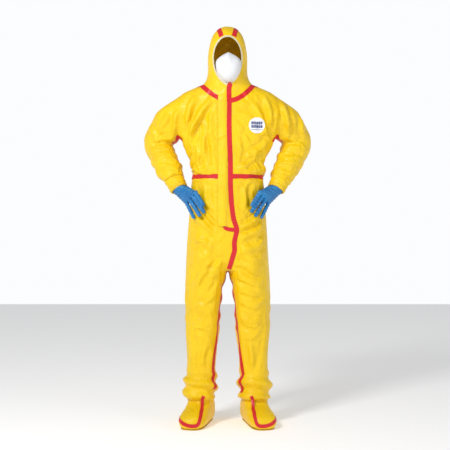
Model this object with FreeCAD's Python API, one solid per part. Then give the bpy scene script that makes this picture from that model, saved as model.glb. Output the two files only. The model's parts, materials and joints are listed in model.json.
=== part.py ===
import FreeCAD, Part
import math
import os

from FreeCAD import Placement, Rotation, Vector

# A hooded chemical protective suit with attached boots, held in the shape it has
# on a wearer who stands with both hands on the hips, with the gloves and the dust
# mask that are worn with it. Millimetres. +Z is up, the wearer faces -Y, and the
# wearer's left side is +X. The origin is on the floor, under the middle of the whole.
# Fabric parts are plain hollow solids with a wall thicker than the real film.

os.makedirs("parts", exist_ok=True)

# ---------------------------------------------------------------- driving sizes
WALL = 2.5  # fabric wall
GLOVE_WALL = 1.6
TAPE_WIDTH = 22.0
TAPE_LIFT = 0.1  # gap between a seam tape and the fabric under it
TAPE_THICK = 0.8
SEAM_GAP = 0.3  # gap between pieces that move apart
RING_POINTS = 24
LARGE = 3000.0

# the sizes below are measured from the wearer's own centre line, which stands
# this far behind the middle of the whole because the toes point forwards
TO_ORIGIN = Vector(0.0, 21.0, 0.0)

WAIST_Z = 1150.0
PELVIS_Z = 815.0  # where the trunk ends and the groin folds begin
CROTCH_Z = 745.0
THIGH_TOP_Z = 715.0
ARMHOLE_X = 185.0
ARMHOLE_FLOOR = 1330.0
NECK_TAPE_REACH = 140.0  # how far the neck tape runs out along the shoulders
SIDE_SEAM_Y = 0.0

# the straight front line that carries the zip
FRONT_TOP = Vector(-14.0, -100.0, 1490.0)
FRONT_SLOPE = 0.06  # how far the front comes forward per millimetre down
ZIP_LENGTH = 560.0

# the storm flap, measured sideways from the zip's centre line
FLAP_HINGE = 23.0
FLAP_FREE_EDGE = -30.0
FLAP_STAND_OFF = 9.0
FLAP_THICK = 1.2
FLAP_HINGE_GAP = 1.5
SLOT_HALF = 8.0  # half the gap between the front panels, behind the zip

# neck seam and throat, both tilted: low in front, high behind
NECK_FRONT = Vector(0.0, -97.0, 1503.0)
NECK_TILT = 26.0
NECK_HALF_DEPTH = 108.5
THROAT_CENTRE = Vector(0.0, 5.0, 1600.0)
THROAT_TILT = 20.0

# centres of the limbs' joints on the left; the right side is the mirror image
SHOULDER = Vector(200.0, 5.0, 1478.0)
ELBOW = Vector(335.0, 85.0, 1325.0)
WRIST = Vector(229.0, -18.0, 1098.0)
KNEE = Vector(115.0, -6.0, 490.0)
ANKLE = Vector(120.0, 22.0, 110.0)
FOOT_TURN = 10.0  # toes turned out, degrees

SHOULDER_FOLD = 80.0  # from the joint to where the stiff part of the sleeve starts
ELBOW_FOLD = 68.0
KNEE_FOLD = 52.0
CUFF_RADIUS = 42.0
GAUNTLET_RADIUS = 35.0
GAUNTLET_DEPTH = 45.0  # how far the glove reaches up into the sleeve

X = Vector(1, 0, 0)
Y = Vector(0, 1, 0)
Z = Vector(0, 0, 1)


# ---------------------------------------------------------------- shape helpers
def unit(vector):
    return vector * (1 / vector.Length)


def ring(centre, across, up, half_across, half_up, power=2.0, near_side=None):
    """A section: a smooth closed outline in the plane of two unit vectors.

    near_side, if given, is the smaller half width on the side against across.
    """
    return (centre, across, up, half_across, half_up, power, near_side or half_across)


def level(z, half_width, front, back, power=2.0):
    """A level section between a front and a back y."""
    centre = Vector(0, (front + back) / 2, z)
    return ring(centre, X, Y, half_width, (back - front) / 2, power)


def tilted(centre, tilt, half_width, half_depth, power=2.0):
    """A section tilted about X, low in front and high behind."""
    angle = math.radians(tilt)
    back = Vector(0, math.cos(angle), math.sin(angle))
    return ring(centre, X, back, half_width, half_depth, power)


def outline(section, inset):
    """The section's wire, moved inwards by inset."""
    centre, across, up, half_across, half_up, power, near_side = section
    points = []
    for i in range(RING_POINTS):
        t = 2 * math.pi * i / RING_POINTS
        c, s = math.cos(t), math.sin(t)
        reach = half_across if c > 0 else near_side
        a = math.copysign(abs(c) ** (2 / power), c) * (reach - inset)
        b = math.copysign(abs(s) ** (2 / power), s) * (half_up - inset)
        points.append(centre + across * a + up * b)
    curve = Part.BSplineCurve()
    curve.interpolate(points, PeriodicFlag=True)
    return Part.Wire(curve.toShape())


def loft(sections, inset=0.0, ruled=True):
    return Part.makeLoft([outline(s, inset) for s in sections], True, ruled)


def tube(sections, outer=0.0, inner=WALL, ruled=True):
    """A hollow tube through the sections, open at both ends."""
    return loft(sections, outer, ruled).cut(loft(sections, inner, ruled))


def skin(sections, ruled=True):
    """A thin layer just outside the sections, from which a seam tape is cut."""
    return tube(sections, -TAPE_LIFT - TAPE_THICK, -TAPE_LIFT, ruled)


def block(x0, x1, y0, y1, z0, z1):
    return Part.makeBox(x1 - x0, y1 - y0, z1 - z0, Vector(x0, y0, z0))


def slab(point, normal, thickness, below=False):
    """Everything within thickness of a plane, on its normal's side or below it."""
    box = Part.makeBox(LARGE, LARGE, thickness, Vector(-LARGE / 2, -LARGE / 2, 0))
    if below:
        box.translate(Vector(0, 0, -thickness))
    box.Placement = Placement(point, Rotation(Z, normal)).multiply(box.Placement)
    return box


def finger(start, end, start_radius, end_radius):
    """A round tapered rod with a domed tip."""
    along = unit(end - start)
    across = unit(along.cross(Z))
    up = across.cross(along)
    steps = [(start, start_radius)]
    for advance, share in ((0.0, 1.0), (0.62, 0.78), (0.95, 0.35)):
        steps.append((end + along * (advance * end_radius), share * end_radius))
    return loft([ring(centre, across, up, r, r) for centre, r in steps])


def mirrored(shape):
    return shape.mirror(Vector(0, 0, 0), X)


def save(name, *shapes):
    """Writes one node: every solid of the shapes given."""
    solids = [s.translated(TO_ORIGIN) for shape in shapes for s in shape.Solids]
    assert solids, name
    for solid in solids:
        assert solid.isValid(), name
        assert solid.Volume > 0, name
    whole = solids[0] if len(solids) == 1 else Part.makeCompound(solids)
    whole.exportStep("parts/" + name + ".step")
    print(name, len(solids), round(sum(s.Volume for s in solids) / 1000, 1), "cm3")


def save_pair(name, *shapes):
    """Writes the left node and its mirror image on the right."""
    save(name + "_left", *shapes)
    save(name + "_right", *[mirrored(s) for s in shapes])


def front_y(z):
    return FRONT_TOP.y - FRONT_SLOPE * (FRONT_TOP.z - z)


FRONT_TILT = -math.degrees(math.atan(FRONT_SLOPE))


def on_front(shape):
    """Moves a shape from the zip's own frame to the front of the trunk.

    In the zip's frame x is sideways from the zip's centre line, -y is outwards
    from the fabric and z runs up the zip from its top end at 0.
    """
    placed = shape.copy()
    turn = Placement(FRONT_TOP, Rotation(X, FRONT_TILT))
    placed.Placement = turn.multiply(placed.Placement)
    return placed


# ---------------------------------------------------------------- trunk
def trunk_sections():
    rows = [  # z, half width, back y
        (PELVIS_Z, 190, 122),
        (925, 184, 122),
        (1050, 172, 112),
        (WAIST_Z, 167, 105),
        (1235, 175, 113),
        (1300, 186, 118),
        (1400, 204, 118),
        (1490, 240, 112),
    ]
    body = [level(z, half, front_y(z), back, 2.5) for z, half, back in rows]
    shoulders = [
        level(1533, 237, -92, 106, 2.3),
        level(1552, 185, -84, 102, 2.1),
        level(1579, 116, -80, 100),
        level(1650, 106, -76, 100),
    ]
    return body + shoulders


def neck_normal():
    angle = math.radians(NECK_TILT)
    return Vector(0, -math.sin(angle), math.cos(angle))


def trimmed_trunk(shape):
    """Cuts a trunk layer at the armholes and along the neck seam."""
    for x in (ARMHOLE_X, -ARMHOLE_X - LARGE):
        shape = shape.cut(block(x, x + LARGE, -300, 300, ARMHOLE_FLOOR, 1700))
    return shape.cut(slab(NECK_FRONT, neck_normal(), 500))


def zip_slot():
    centre = FRONT_TOP.x
    return block(centre - SLOT_HALF, centre + SLOT_HALF, -200, 0, 0, 1700)


def make_trunk():
    sections = trunk_sections()
    shell = trimmed_trunk(tube(sections)).cut(zip_slot())
    far, centre = 400, FRONT_TOP.x
    front = {"left": (centre, far), "right": (-far, centre)}
    for side, (x0, x1) in front.items():
        chest = block(x0, x1, -far, SIDE_SEAM_Y, WAIST_Z, 1700)
        hip = block(x0, x1, -far, SIDE_SEAM_Y, PELVIS_Z, WAIST_Z)
        save("chest_panel_" + side, shell.common(chest))
        save("hip_panel_" + side, shell.common(hip))
    back = block(-far, far, SIDE_SEAM_Y, far, WAIST_Z, 1700)
    save("back_panel", shell.common(back))
    seat = block(-far, far, SIDE_SEAM_Y, far, PELVIS_Z, WAIST_Z)
    save("seat_panel", shell.common(seat))

    # the waist elastic runs inside the back, from side seam to side seam
    band = tube(sections, WALL + TAPE_LIFT, WALL + TAPE_LIFT + 1.5)
    across_back = block(-far, far, SIDE_SEAM_Y, far, WAIST_Z - 20, WAIST_Z + 20)
    save("waist_elastic", band.common(across_back))

    layer = trimmed_trunk(skin(sections))
    hinge = centre + FLAP_HINGE
    under_flap = block(centre + FLAP_FREE_EDGE, hinge + TAPE_WIDTH / 2, -far, 0, 0, 1700)
    half = TAPE_WIDTH / 2
    waist = layer.common(block(-far, far, -far, far, WAIST_Z - half, WAIST_Z + half))
    save("waist_seam_tape", waist.cut(under_flap))
    neck = layer.common(slab(NECK_FRONT, neck_normal(), TAPE_WIDTH, below=True))
    around = block(-NECK_TAPE_REACH, NECK_TAPE_REACH, -far, far, 1400, 1700)
    save("neck_seam_tape", neck.common(around).cut(under_flap))
    flap_end = FRONT_TOP.z - ZIP_LENGTH
    crotch = block(hinge, hinge + TAPE_WIDTH, -far, 0, PELVIS_Z, flap_end - 20)
    save("crotch_seam_tape", layer.common(crotch))

    # the round label on the left of the chest
    label = Part.makeCylinder(37, 200, Vector(134, -200, 1385), Y)
    save("chest_label", layer.common(label))


def make_collar():
    """The soft band between the neck seam and the hood."""
    angle = math.radians(NECK_TILT)
    along = Vector(0, math.cos(angle), math.sin(angle))
    centre = Vector(0, NECK_FRONT.y, NECK_FRONT.z) + along * NECK_HALF_DEPTH
    seam = tilted(centre + neck_normal() * SEAM_GAP, NECK_TILT, 118, NECK_HALF_DEPTH)
    middle = tilted(Vector(0, 3, 1578), 23, 102, 105)
    throat = tilted(THROAT_CENTRE - Z * SEAM_GAP, THROAT_TILT, 94, 103.5)
    save("neck_collar", tube([seam, middle, throat]))


# ---------------------------------------------------------------- zip and storm flap
TOOTH_PITCH = 5.0
TOOTH_REACH = 1.9  # past the centre line
TOOTH_GAP = 0.35
CHAIN_HALF = 1.2  # half the chain's thickness
CHAIN_Y = -0.4  # the chain's middle plane
SPINE_INNER = 2.4
SPINE_OUTER = 3.6


def teeth_row(side):
    """One row of teeth: a comb cut from one plate."""
    points = []
    count = int(ZIP_LENGTH / TOOTH_PITCH)
    shift = 0.0 if side > 0 else TOOTH_PITCH / 2
    tooth = TOOTH_PITCH / 2 - TOOTH_GAP
    for i in range(count):
        z = -ZIP_LENGTH + i * TOOTH_PITCH + shift
        for across, along in ((SPINE_INNER, 0), (-TOOTH_REACH, 0)):
            points.append(Vector(side * across, 0, z + along))
        for across, along in ((-TOOTH_REACH, tooth), (SPINE_INNER, tooth)):
            points.append(Vector(side * across, 0, z + along))
    points.append(Vector(side * SPINE_OUTER, 0, points[-1].z))
    points.append(Vector(side * SPINE_OUTER, 0, points[0].z))
    face = Part.Face(Part.makePolygon(points + [points[0]]))
    comb = face.extrude(Vector(0, 2 * CHAIN_HALF, 0))
    comb.translate(Vector(0, CHAIN_Y - CHAIN_HALF, 0))
    return comb


def make_zip():
    save("zipper_teeth", on_front(teeth_row(1)), on_front(teeth_row(-1)))
    tape = block(SPINE_OUTER + 0.1, 15, -0.85, -0.05, -ZIP_LENGTH, 0)
    save("zipper_tapes", on_front(tape), on_front(mirrored(tape)))
    stop = block(-5, 5, CHAIN_Y - 1.6, CHAIN_Y + 1.6, -ZIP_LENGTH - 6.5, -ZIP_LENGTH - 0.5)
    save("zipper_bottom_stop", on_front(stop.makeFillet(1.0, stop.Edges)))


SLIDER_HALF_WIDTH = 6.5
SLIDER_HEIGHT = 14.0
SLIDER_RISE = 3.7  # the slider's top edge stands this far above the last tooth
PLATE = 1.3
PLATE_CLEAR = 0.35  # between a slider plate and the chain
POST_HALF = 1.4
POST_HEIGHT = 3.0
ARCH_RISE = 3.2  # from the front plate to the outside of the arch that holds the pull
ARCH_THICK = 1.0
ARCH_TOP = -2.0
ARCH_FOOT = -11.0
FOOT_HEIGHT = 1.4
PULL_THICK = 1.1
PULL_LENGTH = 30.0
PULL_HALF = 4.5
EYE_TOP = -3.7
EYE_BAR = 1.7
EYE_HOLE_HALF = 2.2
EYE_HOLE_END = -11.8
PULL_GAP = 0.5  # between the front plate and the pull
PLATE_FRONT = CHAIN_Y - CHAIN_HALF - PLATE_CLEAR - PLATE


def slider_plate(y0):
    """A shield-shaped plate, wide at the top and narrow at the bottom."""
    top, low = SLIDER_HALF_WIDTH, SLIDER_HALF_WIDTH - 1.5
    corners = [(-top, 0), (top, 0), (low, -SLIDER_HEIGHT), (-low, -SLIDER_HEIGHT)]
    points = [Vector(x, y0, z) for x, z in corners]
    plate = Part.Face(Part.makePolygon(points + [points[0]]))
    return plate.extrude(Vector(0, PLATE, 0))


def on_slider(shape):
    """The slider rests at the top, with its post just above the last tooth."""
    return on_front(shape.translated(Z * SLIDER_RISE))


def make_slider():
    back = CHAIN_Y + CHAIN_HALF + PLATE_CLEAR
    post = block(-POST_HALF, POST_HALF, PLATE_FRONT, back + PLATE, -POST_HEIGHT - 0.4, -0.4)
    arch_y = PLATE_FRONT - ARCH_RISE
    arch = block(-1.5, 1.5, arch_y, arch_y + ARCH_THICK, ARCH_FOOT, ARCH_TOP)
    for z in (ARCH_FOOT, ARCH_TOP - FOOT_HEIGHT):
        arch = arch.fuse(block(-1.5, 1.5, arch_y, PLATE_FRONT + 0.2, z, z + FOOT_HEIGHT))
    body = slider_plate(PLATE_FRONT).fuse([slider_plate(back), post, arch])
    save("zipper_slider", on_slider(body.removeSplitter()))

    # the pull's eye bar lies under the arch, whose lower foot stands in the eye
    tab = block(-PULL_HALF, PULL_HALF, 0, PULL_THICK, EYE_TOP - PULL_LENGTH, EYE_TOP)
    eye = block(-EYE_HOLE_HALF, EYE_HOLE_HALF, -1, 3, EYE_HOLE_END, EYE_TOP - EYE_BAR)
    pull = tab.cut(eye)
    pull.translate(Vector(0, PLATE_FRONT - PULL_GAP - PULL_THICK, 0))
    save("zipper_pull", on_slider(pull))


def flap_profile():
    """The flap's cross-section: it rises from its hinge over the zip and drops again."""
    rise = -FLAP_STAND_OFF
    near = FLAP_HINGE - FLAP_HINGE_GAP
    line = [(near, -1.6), (near - 9, rise), (FLAP_FREE_EDGE + 12, rise), (FLAP_FREE_EDGE, -2.2)]
    inner = [Vector(x, y, 0) for x, y in line]
    outer = [Vector(x, y - FLAP_THICK, 0) for x, y in reversed(line)]
    return Part.Face(Part.makePolygon(inner + outer + [inner[0]]))


def make_flap():
    flap = flap_profile().extrude(Vector(0, 0, -ZIP_LENGTH))
    save("storm_flap", on_front(flap))
    glue_y = -FLAP_STAND_OFF + 0.05
    edge = FLAP_FREE_EDGE + 12
    glue = block(edge, edge + 10, glue_y, glue_y + 0.6, -ZIP_LENGTH + 5, -5)
    save("flap_adhesive_strip", on_front(glue))
    side = FLAP_HINGE + TAPE_WIDTH
    low = -ZIP_LENGTH - 8
    along = block(FLAP_HINGE, FLAP_HINGE + TAPE_WIDTH / 2, -1.1, -0.3, -ZIP_LENGTH, 0)
    across = block(FLAP_FREE_EDGE, side, -1.1, -0.3, low - TAPE_WIDTH / 2, low)
    save("flap_seam_tapes", on_front(along), on_front(across))


# ---------------------------------------------------------------- hood
FACE_EDGE = 8.0
SEAM_X = 40.0


def hood_sections():
    return [
        tilted(THROAT_CENTRE, THROAT_TILT, 94, 103.5),
        tilted(Vector(0, 7, 1655), 12, 93, 107),
        tilted(Vector(0, 9, 1703), 5, 93, 113),
        level(1750, 87, -104, 121),
        level(1790, 75, -92, 108),
        level(1822, 55, -68, 86),
        level(1843, 32, -38, 56),
        level(1852, 10, -8, 26),
    ]


def egg(half_width, top, bottom, middle, grow, y0, y1):
    """A prism along Y with an egg-shaped outline, widest at the middle height."""
    points = []
    for i in range(RING_POINTS):
        t = 2 * math.pi * i / RING_POINTS
        reach = top - middle if math.cos(t) > 0 else middle - bottom
        pull_in = 1.0 if math.cos(t) > 0 else 1.0 + 0.18 * math.cos(t)
        x = (half_width + grow) * math.sin(t) * pull_in
        points.append(Vector(x, y0, middle + (reach + grow) * math.cos(t)))
    curve = Part.BSplineCurve()
    curve.interpolate(points, PeriodicFlag=True)
    return Part.Face(Part.Wire(curve.toShape())).extrude(Vector(0, y1 - y0, 0))


def face_opening(grow):
    return egg(68, 1802, 1586, 1703, grow, -200, -15)


def make_hood():
    sections = hood_sections()
    inner = sections[:-1] + [level(1852 - WALL, 10, -8, 26)]
    shell = loft(sections).cut(loft(inner, WALL))
    edge = shell.common(face_opening(FACE_EDGE)).cut(face_opening(0))
    save("face_elastic", edge)
    shell = shell.cut(face_opening(FACE_EDGE))
    centre = block(-SEAM_X, SEAM_X, 0, 300, 1500, 1900)
    centre = centre.fuse(block(-SEAM_X, SEAM_X, -300, 1, 1720, 1900))
    save("hood_centre_panel", shell.common(centre))
    sides = shell.cut(centre)
    save("hood_panel_left", sides.common(block(0, 300, -300, 300, 1500, 1900)))
    save("hood_panel_right", sides.common(block(-300, 0, -300, 300, 1500, 1900)))

    layer = loft(sections, -TAPE_LIFT - TAPE_THICK).cut(loft(sections, -TAPE_LIFT))
    layer = layer.cut(face_opening(FACE_EDGE))
    half = TAPE_WIDTH / 2
    tape = block(SEAM_X - half, SEAM_X + half, -300, 300, 1500, 1848)
    tape = tape.cut(block(0, 100, -300, 0, 1500, 1720))
    save("hood_seam_tapes", layer.common(tape), layer.common(mirrored(tape)))


# ---------------------------------------------------------------- dust mask
MASK_BASE_Y = -96.0
MASK_WALL = 1.8


def mask_outline(scale, y, inset):
    """The cup's outline: a peak over the nose, straight slopes and a round chin."""
    half = [(0, 70), (25, 58), (49, 43), (60, 28), (61, 12), (56, -18), (40, -48), (19, -65)]
    right = [(x, z) for x, z in half]
    left = [(-x, z) for x, z in reversed(half[1:])]
    shrink = scale * (1 - inset / 62)
    centre_z = 1664.0
    points = [Vector(x * shrink, y, centre_z + z * shrink) for x, z in right + [(0, -71)] + left]
    curve = Part.BSplineCurve()
    curve.interpolate(points, PeriodicFlag=True)
    return Part.Wire(curve.toShape())


def strap(half_width, z):
    """A flat elastic loop that runs back from the cup and round behind the head."""
    thick, high = 1.2, 7.0
    straight = 110.0
    outer = Part.makeCylinder(half_width, high, Vector(0, MASK_BASE_Y + straight, z), Z)
    inner = Part.makeCylinder(half_width - thick, high, Vector(0, MASK_BASE_Y + straight, z), Z)
    y0, y1 = MASK_BASE_Y + 0.1, MASK_BASE_Y + straight
    behind = block(-LARGE, LARGE, y1, LARGE, z, z + high)
    loop = outer.cut(inner).common(behind)
    side = block(half_width - thick, half_width, y0, y1, z, z + high)
    return loop.fuse(side).fuse(mirrored(side)).removeSplitter()


def make_mask():
    steps = [(1.0, 0), (0.94, -22), (0.74, -42), (0.42, -53)]
    outer = [mask_outline(s, MASK_BASE_Y + y, 0) for s, y in steps]
    inner_steps = steps[:-1] + [(0.42, -53 + MASK_WALL)]
    inner = [mask_outline(s, MASK_BASE_Y + y, MASK_WALL) for s, y in inner_steps]
    cup = Part.makeLoft(outer, True, True).cut(Part.makeLoft(inner, True, True))
    save("mask_cup", cup)
    save("mask_straps", strap(59.5, 1690), strap(49.0, 1638))


# ---------------------------------------------------------------- sleeves
UPPER_DIR = unit(ELBOW - SHOULDER)
FOREARM_DIR = unit(WRIST - ELBOW)
ELBOW_AXIS = unit(UPPER_DIR.cross(FOREARM_DIR))


def limb_ring(centre, direction, radius, squash=1.0):
    """A round section across a sleeve, built from the elbow's hinge axis."""
    other = unit(direction.cross(ELBOW_AXIS))
    return ring(centre, ELBOW_AXIS, other, radius, radius * squash)


def sleeve_sections():
    start = SHOULDER + UPPER_DIR * SHOULDER_FOLD
    end = ELBOW - UPPER_DIR * ELBOW_FOLD
    upper = [limb_ring(start, UPPER_DIR, 74), limb_ring(end, UPPER_DIR, 66)]
    top = ELBOW + FOREARM_DIR * ELBOW_FOLD
    rows = [(0, 65), (70, 62), (150, 57), (185, 48)]
    lower = [limb_ring(top + FOREARM_DIR * d, FOREARM_DIR, r) for d, r in rows]
    lower.append(limb_ring(WRIST, FOREARM_DIR, CUFF_RADIUS))
    return upper, top, lower


def make_sleeve():
    upper, top, lower = sleeve_sections()
    save_pair("upper_sleeve", tube(upper))
    save_pair("forearm_sleeve", tube(lower))

    # shoulder fold: from the armhole to the start of the stiff sleeve
    front = Y * -1
    armhole = ring(Vector(ARMHOLE_X + SEAM_GAP, 6, 1441), front, Z, 84, 107)
    side = unit(front - UPPER_DIR * front.dot(UPPER_DIR))
    rise = unit(Z - UPPER_DIR * Z.dot(UPPER_DIR))
    rise = unit(rise - side * rise.dot(side))
    centre = SHOULDER + UPPER_DIR * (SHOULDER_FOLD - SEAM_GAP)
    save_pair("shoulder_fold", tube([armhole, ring(centre, side, rise, 74, 74)]))

    # elbow fold: a bent tube whose middle section lies on the bend's bisector
    near = limb_ring(ELBOW - UPPER_DIR * (ELBOW_FOLD - SEAM_GAP), UPPER_DIR, 66)
    far = limb_ring(ELBOW + FOREARM_DIR * (ELBOW_FOLD - SEAM_GAP), FOREARM_DIR, 65)
    crook = unit(FOREARM_DIR - UPPER_DIR)
    middle = ring(ELBOW + crook * 8, ELBOW_AXIS, crook * -1, 66, 74)
    save_pair("elbow_fold", tube([near, middle, far]))

    # the seam tape on the inner side of the forearm, and the cuff's elastic
    facing = unit(crook - FOREARM_DIR * crook.dot(FOREARM_DIR))
    box = Part.makeBox(TAPE_WIDTH, 120, LARGE, Vector(-TAPE_WIDTH / 2, 0, -LARGE / 2))
    turn = Rotation(facing.cross(FOREARM_DIR), facing, FOREARM_DIR)
    box.Placement = Placement(top, turn).multiply(box.Placement)
    save_pair("forearm_seam_tape", skin(lower).common(box))
    elastic = [limb_ring(WRIST - FOREARM_DIR * d, FOREARM_DIR, CUFF_RADIUS) for d in (12, 0)]
    save_pair("cuff_elastic", tube(elastic, WALL + 0.2, WALL + 1.4))


# ---------------------------------------------------------------- gloves
KNUCKLES = {
    "index": (Vector(146, -115, 1072), Vector(112, -137, 1020), 11.5),
    "middle": (Vector(159, -103, 1058), Vector(110, -138, 990), 11.5),
    "ring": (Vector(173, -89, 1043), Vector(128, -131, 972), 11.0),
    "little": (Vector(188, -73, 1027), Vector(156, -108, 962), 10.0),
    "thumb": (Vector(203, -38, 1088), Vector(196, 22, 1086), 12.0),
}


def hand(inset, open_end):
    """The outer form of a hand, drawn in by inset; open_end lengthens the wrist."""
    index, little = KNUCKLES["index"][0], KNUCKLES["little"][0]
    across = unit(index - little)
    centre = (index + little) * 0.5
    along = unit(centre - WRIST)
    normal = unit(along.cross(across))
    wrist_side = unit(across - FOREARM_DIR * across.dot(FOREARM_DIR))
    wrist_up = unit(FOREARM_DIR.cross(wrist_side))
    inside = WRIST - FOREARM_DIR * (GAUNTLET_DEPTH + open_end)
    round_wrist = WRIST + FOREARM_DIR * 4
    sections = [
        ring(inside, wrist_side, wrist_up, GAUNTLET_RADIUS, GAUNTLET_RADIUS),
        ring(round_wrist, wrist_side, wrist_up, GAUNTLET_RADIUS, GAUNTLET_RADIUS),
        ring(WRIST + along * 34, across, normal, 40, 21),
        ring(centre + along * (4 - inset), across, normal, 48, 14),
    ]
    form = loft(sections, inset)
    for knuckle, tip, radius in KNUCKLES.values():
        root = knuckle + unit(knuckle - tip) * 12
        form = form.fuse(finger(root, tip, radius - inset, radius - 2 - inset))
    return form


def make_glove():
    save_pair("glove", hand(0, 0).cut(hand(GLOVE_WALL, 10)))


# ---------------------------------------------------------------- legs and boots
def leg_level(z, cx, cy, half_width, half_depth, power=2.0):
    return ring(Vector(cx, cy, z), X, Y, half_width, half_depth, power)


def leg_sections():
    thigh = [
        leg_level(THIGH_TOP_Z, 100, -4, 95, 112),
        leg_level(634, 106, -4, 90, 102),
        leg_level(KNEE.z + KNEE_FOLD, 113, -5, 84, 92),
    ]
    shin = [
        leg_level(KNEE.z - KNEE_FOLD, 115, -6, 82, 86),
        leg_level(340, 118, 2, 71, 79),
        leg_level(240, 120, 12, 66, 76),
        leg_level(190, 122, 16, 74, 80),
        leg_level(150, 124, 18, 70, 80),
    ]
    return thigh, shin


def inseam(sections):
    """The tape down the inner side of a leg."""
    half = TAPE_WIDTH / 2
    centre = sections[0][0]
    return skin(sections).common(block(0, centre.x, -half, half, 0, 900))


def foot_frame(shape):
    """Turns a foot that points along -Y about the ankle, toes outwards."""
    turned = shape.copy()
    turned.rotate(Vector(ANKLE.x, ANKLE.y, 0), Z, FOOT_TURN)
    return turned


SOLE_THICK = 4.0


def foot_ring(y, half_width, height, lean=0.0):
    """A section across the foot, flat side down."""
    bottom = SOLE_THICK + 0.1
    centre = Vector(ANKLE.x + lean, y, bottom + height / 2)
    return ring(centre, X, Z, half_width, height / 2, 2.8)


def foot_sections():
    return [
        foot_ring(104, 26, 60),
        foot_ring(96, 40, 96),
        foot_ring(60, 50, 128),
        foot_ring(10, 55, 132),
        foot_ring(-40, 56, 112),
        foot_ring(-90, 58, 90, 2),
        foot_ring(-140, 57, 76, 4),
        foot_ring(-172, 44, 62, 5),
        foot_ring(-186, 24, 40, 5),
    ]


def foot_form(inset, cap):
    sections = foot_sections()
    first = (sections[0][0] - Y * cap,) + sections[0][1:]
    last = (sections[-1][0] + Y * cap,) + sections[-1][1:]
    foot = foot_frame(loft([first] + sections[1:-1] + [last], inset))
    shaft = [
        leg_level(60, 122, 22, 52, 60, 2.4),
        leg_level(110, 122, 20, 60, 70),
        leg_level(149.7, 123, 18, 68, 78),
    ]
    return foot.fuse(loft(shaft, inset))


def make_leg():
    thigh, shin = leg_sections()
    save_pair("thigh_leg", tube(thigh))
    save_pair("shin_leg", tube(shin))
    save_pair("thigh_inseam_tape", inseam(thigh))
    save_pair("shin_inseam_tape", inseam(shin))

    # groin fold: half of the pelvis runs into one leg, open to the other half
    centre = Vector(40, -9, PELVIS_Z - SEAM_GAP)
    top = ring(centre, X, Y, 148, 129, 2.4, near_side=39)
    low = leg_level(THIGH_TOP_Z + SEAM_GAP, 100, -4, 95, 112)
    fold = tube([top, low]).cut(block(0, 30, -80, 70, CROTCH_Z, 900))
    save_pair("groin_fold", fold)

    above = leg_level(KNEE.z + KNEE_FOLD - SEAM_GAP, 113, -5, 84, 92)
    below = leg_level(KNEE.z - KNEE_FOLD + SEAM_GAP, 115, -6, 82, 86)
    save_pair("knee_fold", tube([above, below]))


def make_boot():
    mouth = block(0, 400, -200, 300, 149, 400)
    boot = foot_form(0, 0).cut(foot_form(WALL, WALL)).cut(mouth)
    save_pair("boot", boot)

    outline_ring = [
        foot_ring(y, w, h, lean) for y, w, h, lean in
        ((104, 26, 60, 0), (60, 50, 128, 0), (-40, 56, 112, 0), (-140, 57, 76, 4), (-186, 24, 40, 5))
    ]
    right = [Vector(r[0].x + r[3], r[0].y, 0) for r in outline_ring]
    left = [Vector(r[0].x - r[3], r[0].y, 0) for r in reversed(outline_ring)]
    heel = Vector(ANKLE.x, 112, 0)
    toe = Vector(ANKLE.x + 5, -193, 0)
    curve = Part.BSplineCurve()
    curve.interpolate(right + [toe] + left + [heel], PeriodicFlag=True)
    sole = Part.Face(Part.Wire(curve.toShape())).extrude(Vector(0, 0, SOLE_THICK))
    save_pair("boot_sole", foot_frame(sole))

    # the boot's seam tapes: one over the instep, one low round the toe
    shell = foot_form(-TAPE_LIFT - TAPE_THICK, -TAPE_THICK)
    shell = shell.cut(foot_form(-TAPE_LIFT, -TAPE_LIFT))
    half = TAPE_WIDTH / 2 - 2
    instep = block(ANKLE.x - 12 - half, ANKLE.x - 12 + half, -230, -62, 40, 145)
    toe_band = block(ANKLE.x - 12, ANKLE.x + 100, -230, -100, 8, 8 + TAPE_WIDTH - 4)
    save_pair("boot_seam_tapes", shell.common(foot_frame(instep.fuse(toe_band))))


make_trunk()
make_collar()
make_zip()
make_slider()
make_flap()
make_hood()
make_mask()
make_sleeve()
make_glove()
make_leg()
make_boot()
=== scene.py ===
import json
import math

import bmesh
import bpy
import numpy as np
from mathutils import Matrix, Vector, noise
from mathutils.bvhtree import BVHTree


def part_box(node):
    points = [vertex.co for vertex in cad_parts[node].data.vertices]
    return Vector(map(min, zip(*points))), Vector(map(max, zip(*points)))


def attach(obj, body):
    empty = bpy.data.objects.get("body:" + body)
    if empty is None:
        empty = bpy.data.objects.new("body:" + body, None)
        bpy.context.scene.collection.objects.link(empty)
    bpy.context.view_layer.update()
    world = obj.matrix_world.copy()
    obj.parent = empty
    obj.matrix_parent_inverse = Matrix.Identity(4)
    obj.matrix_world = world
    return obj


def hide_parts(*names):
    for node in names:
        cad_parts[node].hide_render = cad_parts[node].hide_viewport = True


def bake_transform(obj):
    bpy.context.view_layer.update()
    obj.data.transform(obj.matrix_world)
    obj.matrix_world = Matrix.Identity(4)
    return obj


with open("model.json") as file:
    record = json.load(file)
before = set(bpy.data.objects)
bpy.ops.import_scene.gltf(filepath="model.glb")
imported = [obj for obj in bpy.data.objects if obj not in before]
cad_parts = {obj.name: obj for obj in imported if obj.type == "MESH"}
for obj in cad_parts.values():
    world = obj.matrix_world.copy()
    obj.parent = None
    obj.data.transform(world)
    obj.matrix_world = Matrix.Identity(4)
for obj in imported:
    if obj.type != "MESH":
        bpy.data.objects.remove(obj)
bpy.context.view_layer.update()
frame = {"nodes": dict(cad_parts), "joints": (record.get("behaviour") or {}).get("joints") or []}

# The looks of the protective suit. One closed form is built from smooth sections
# along the wearer's limbs, draped by cloth simulation over a slimmer body, and then
# cut into the pieces that ride on the CAD bodies. Seam tapes, the storm flap and
# the trims are laid on that draped surface. Metres, in the CAD model's frame.

JOINTS = {joint["name"]: joint for joint in frame["joints"]}

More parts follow.
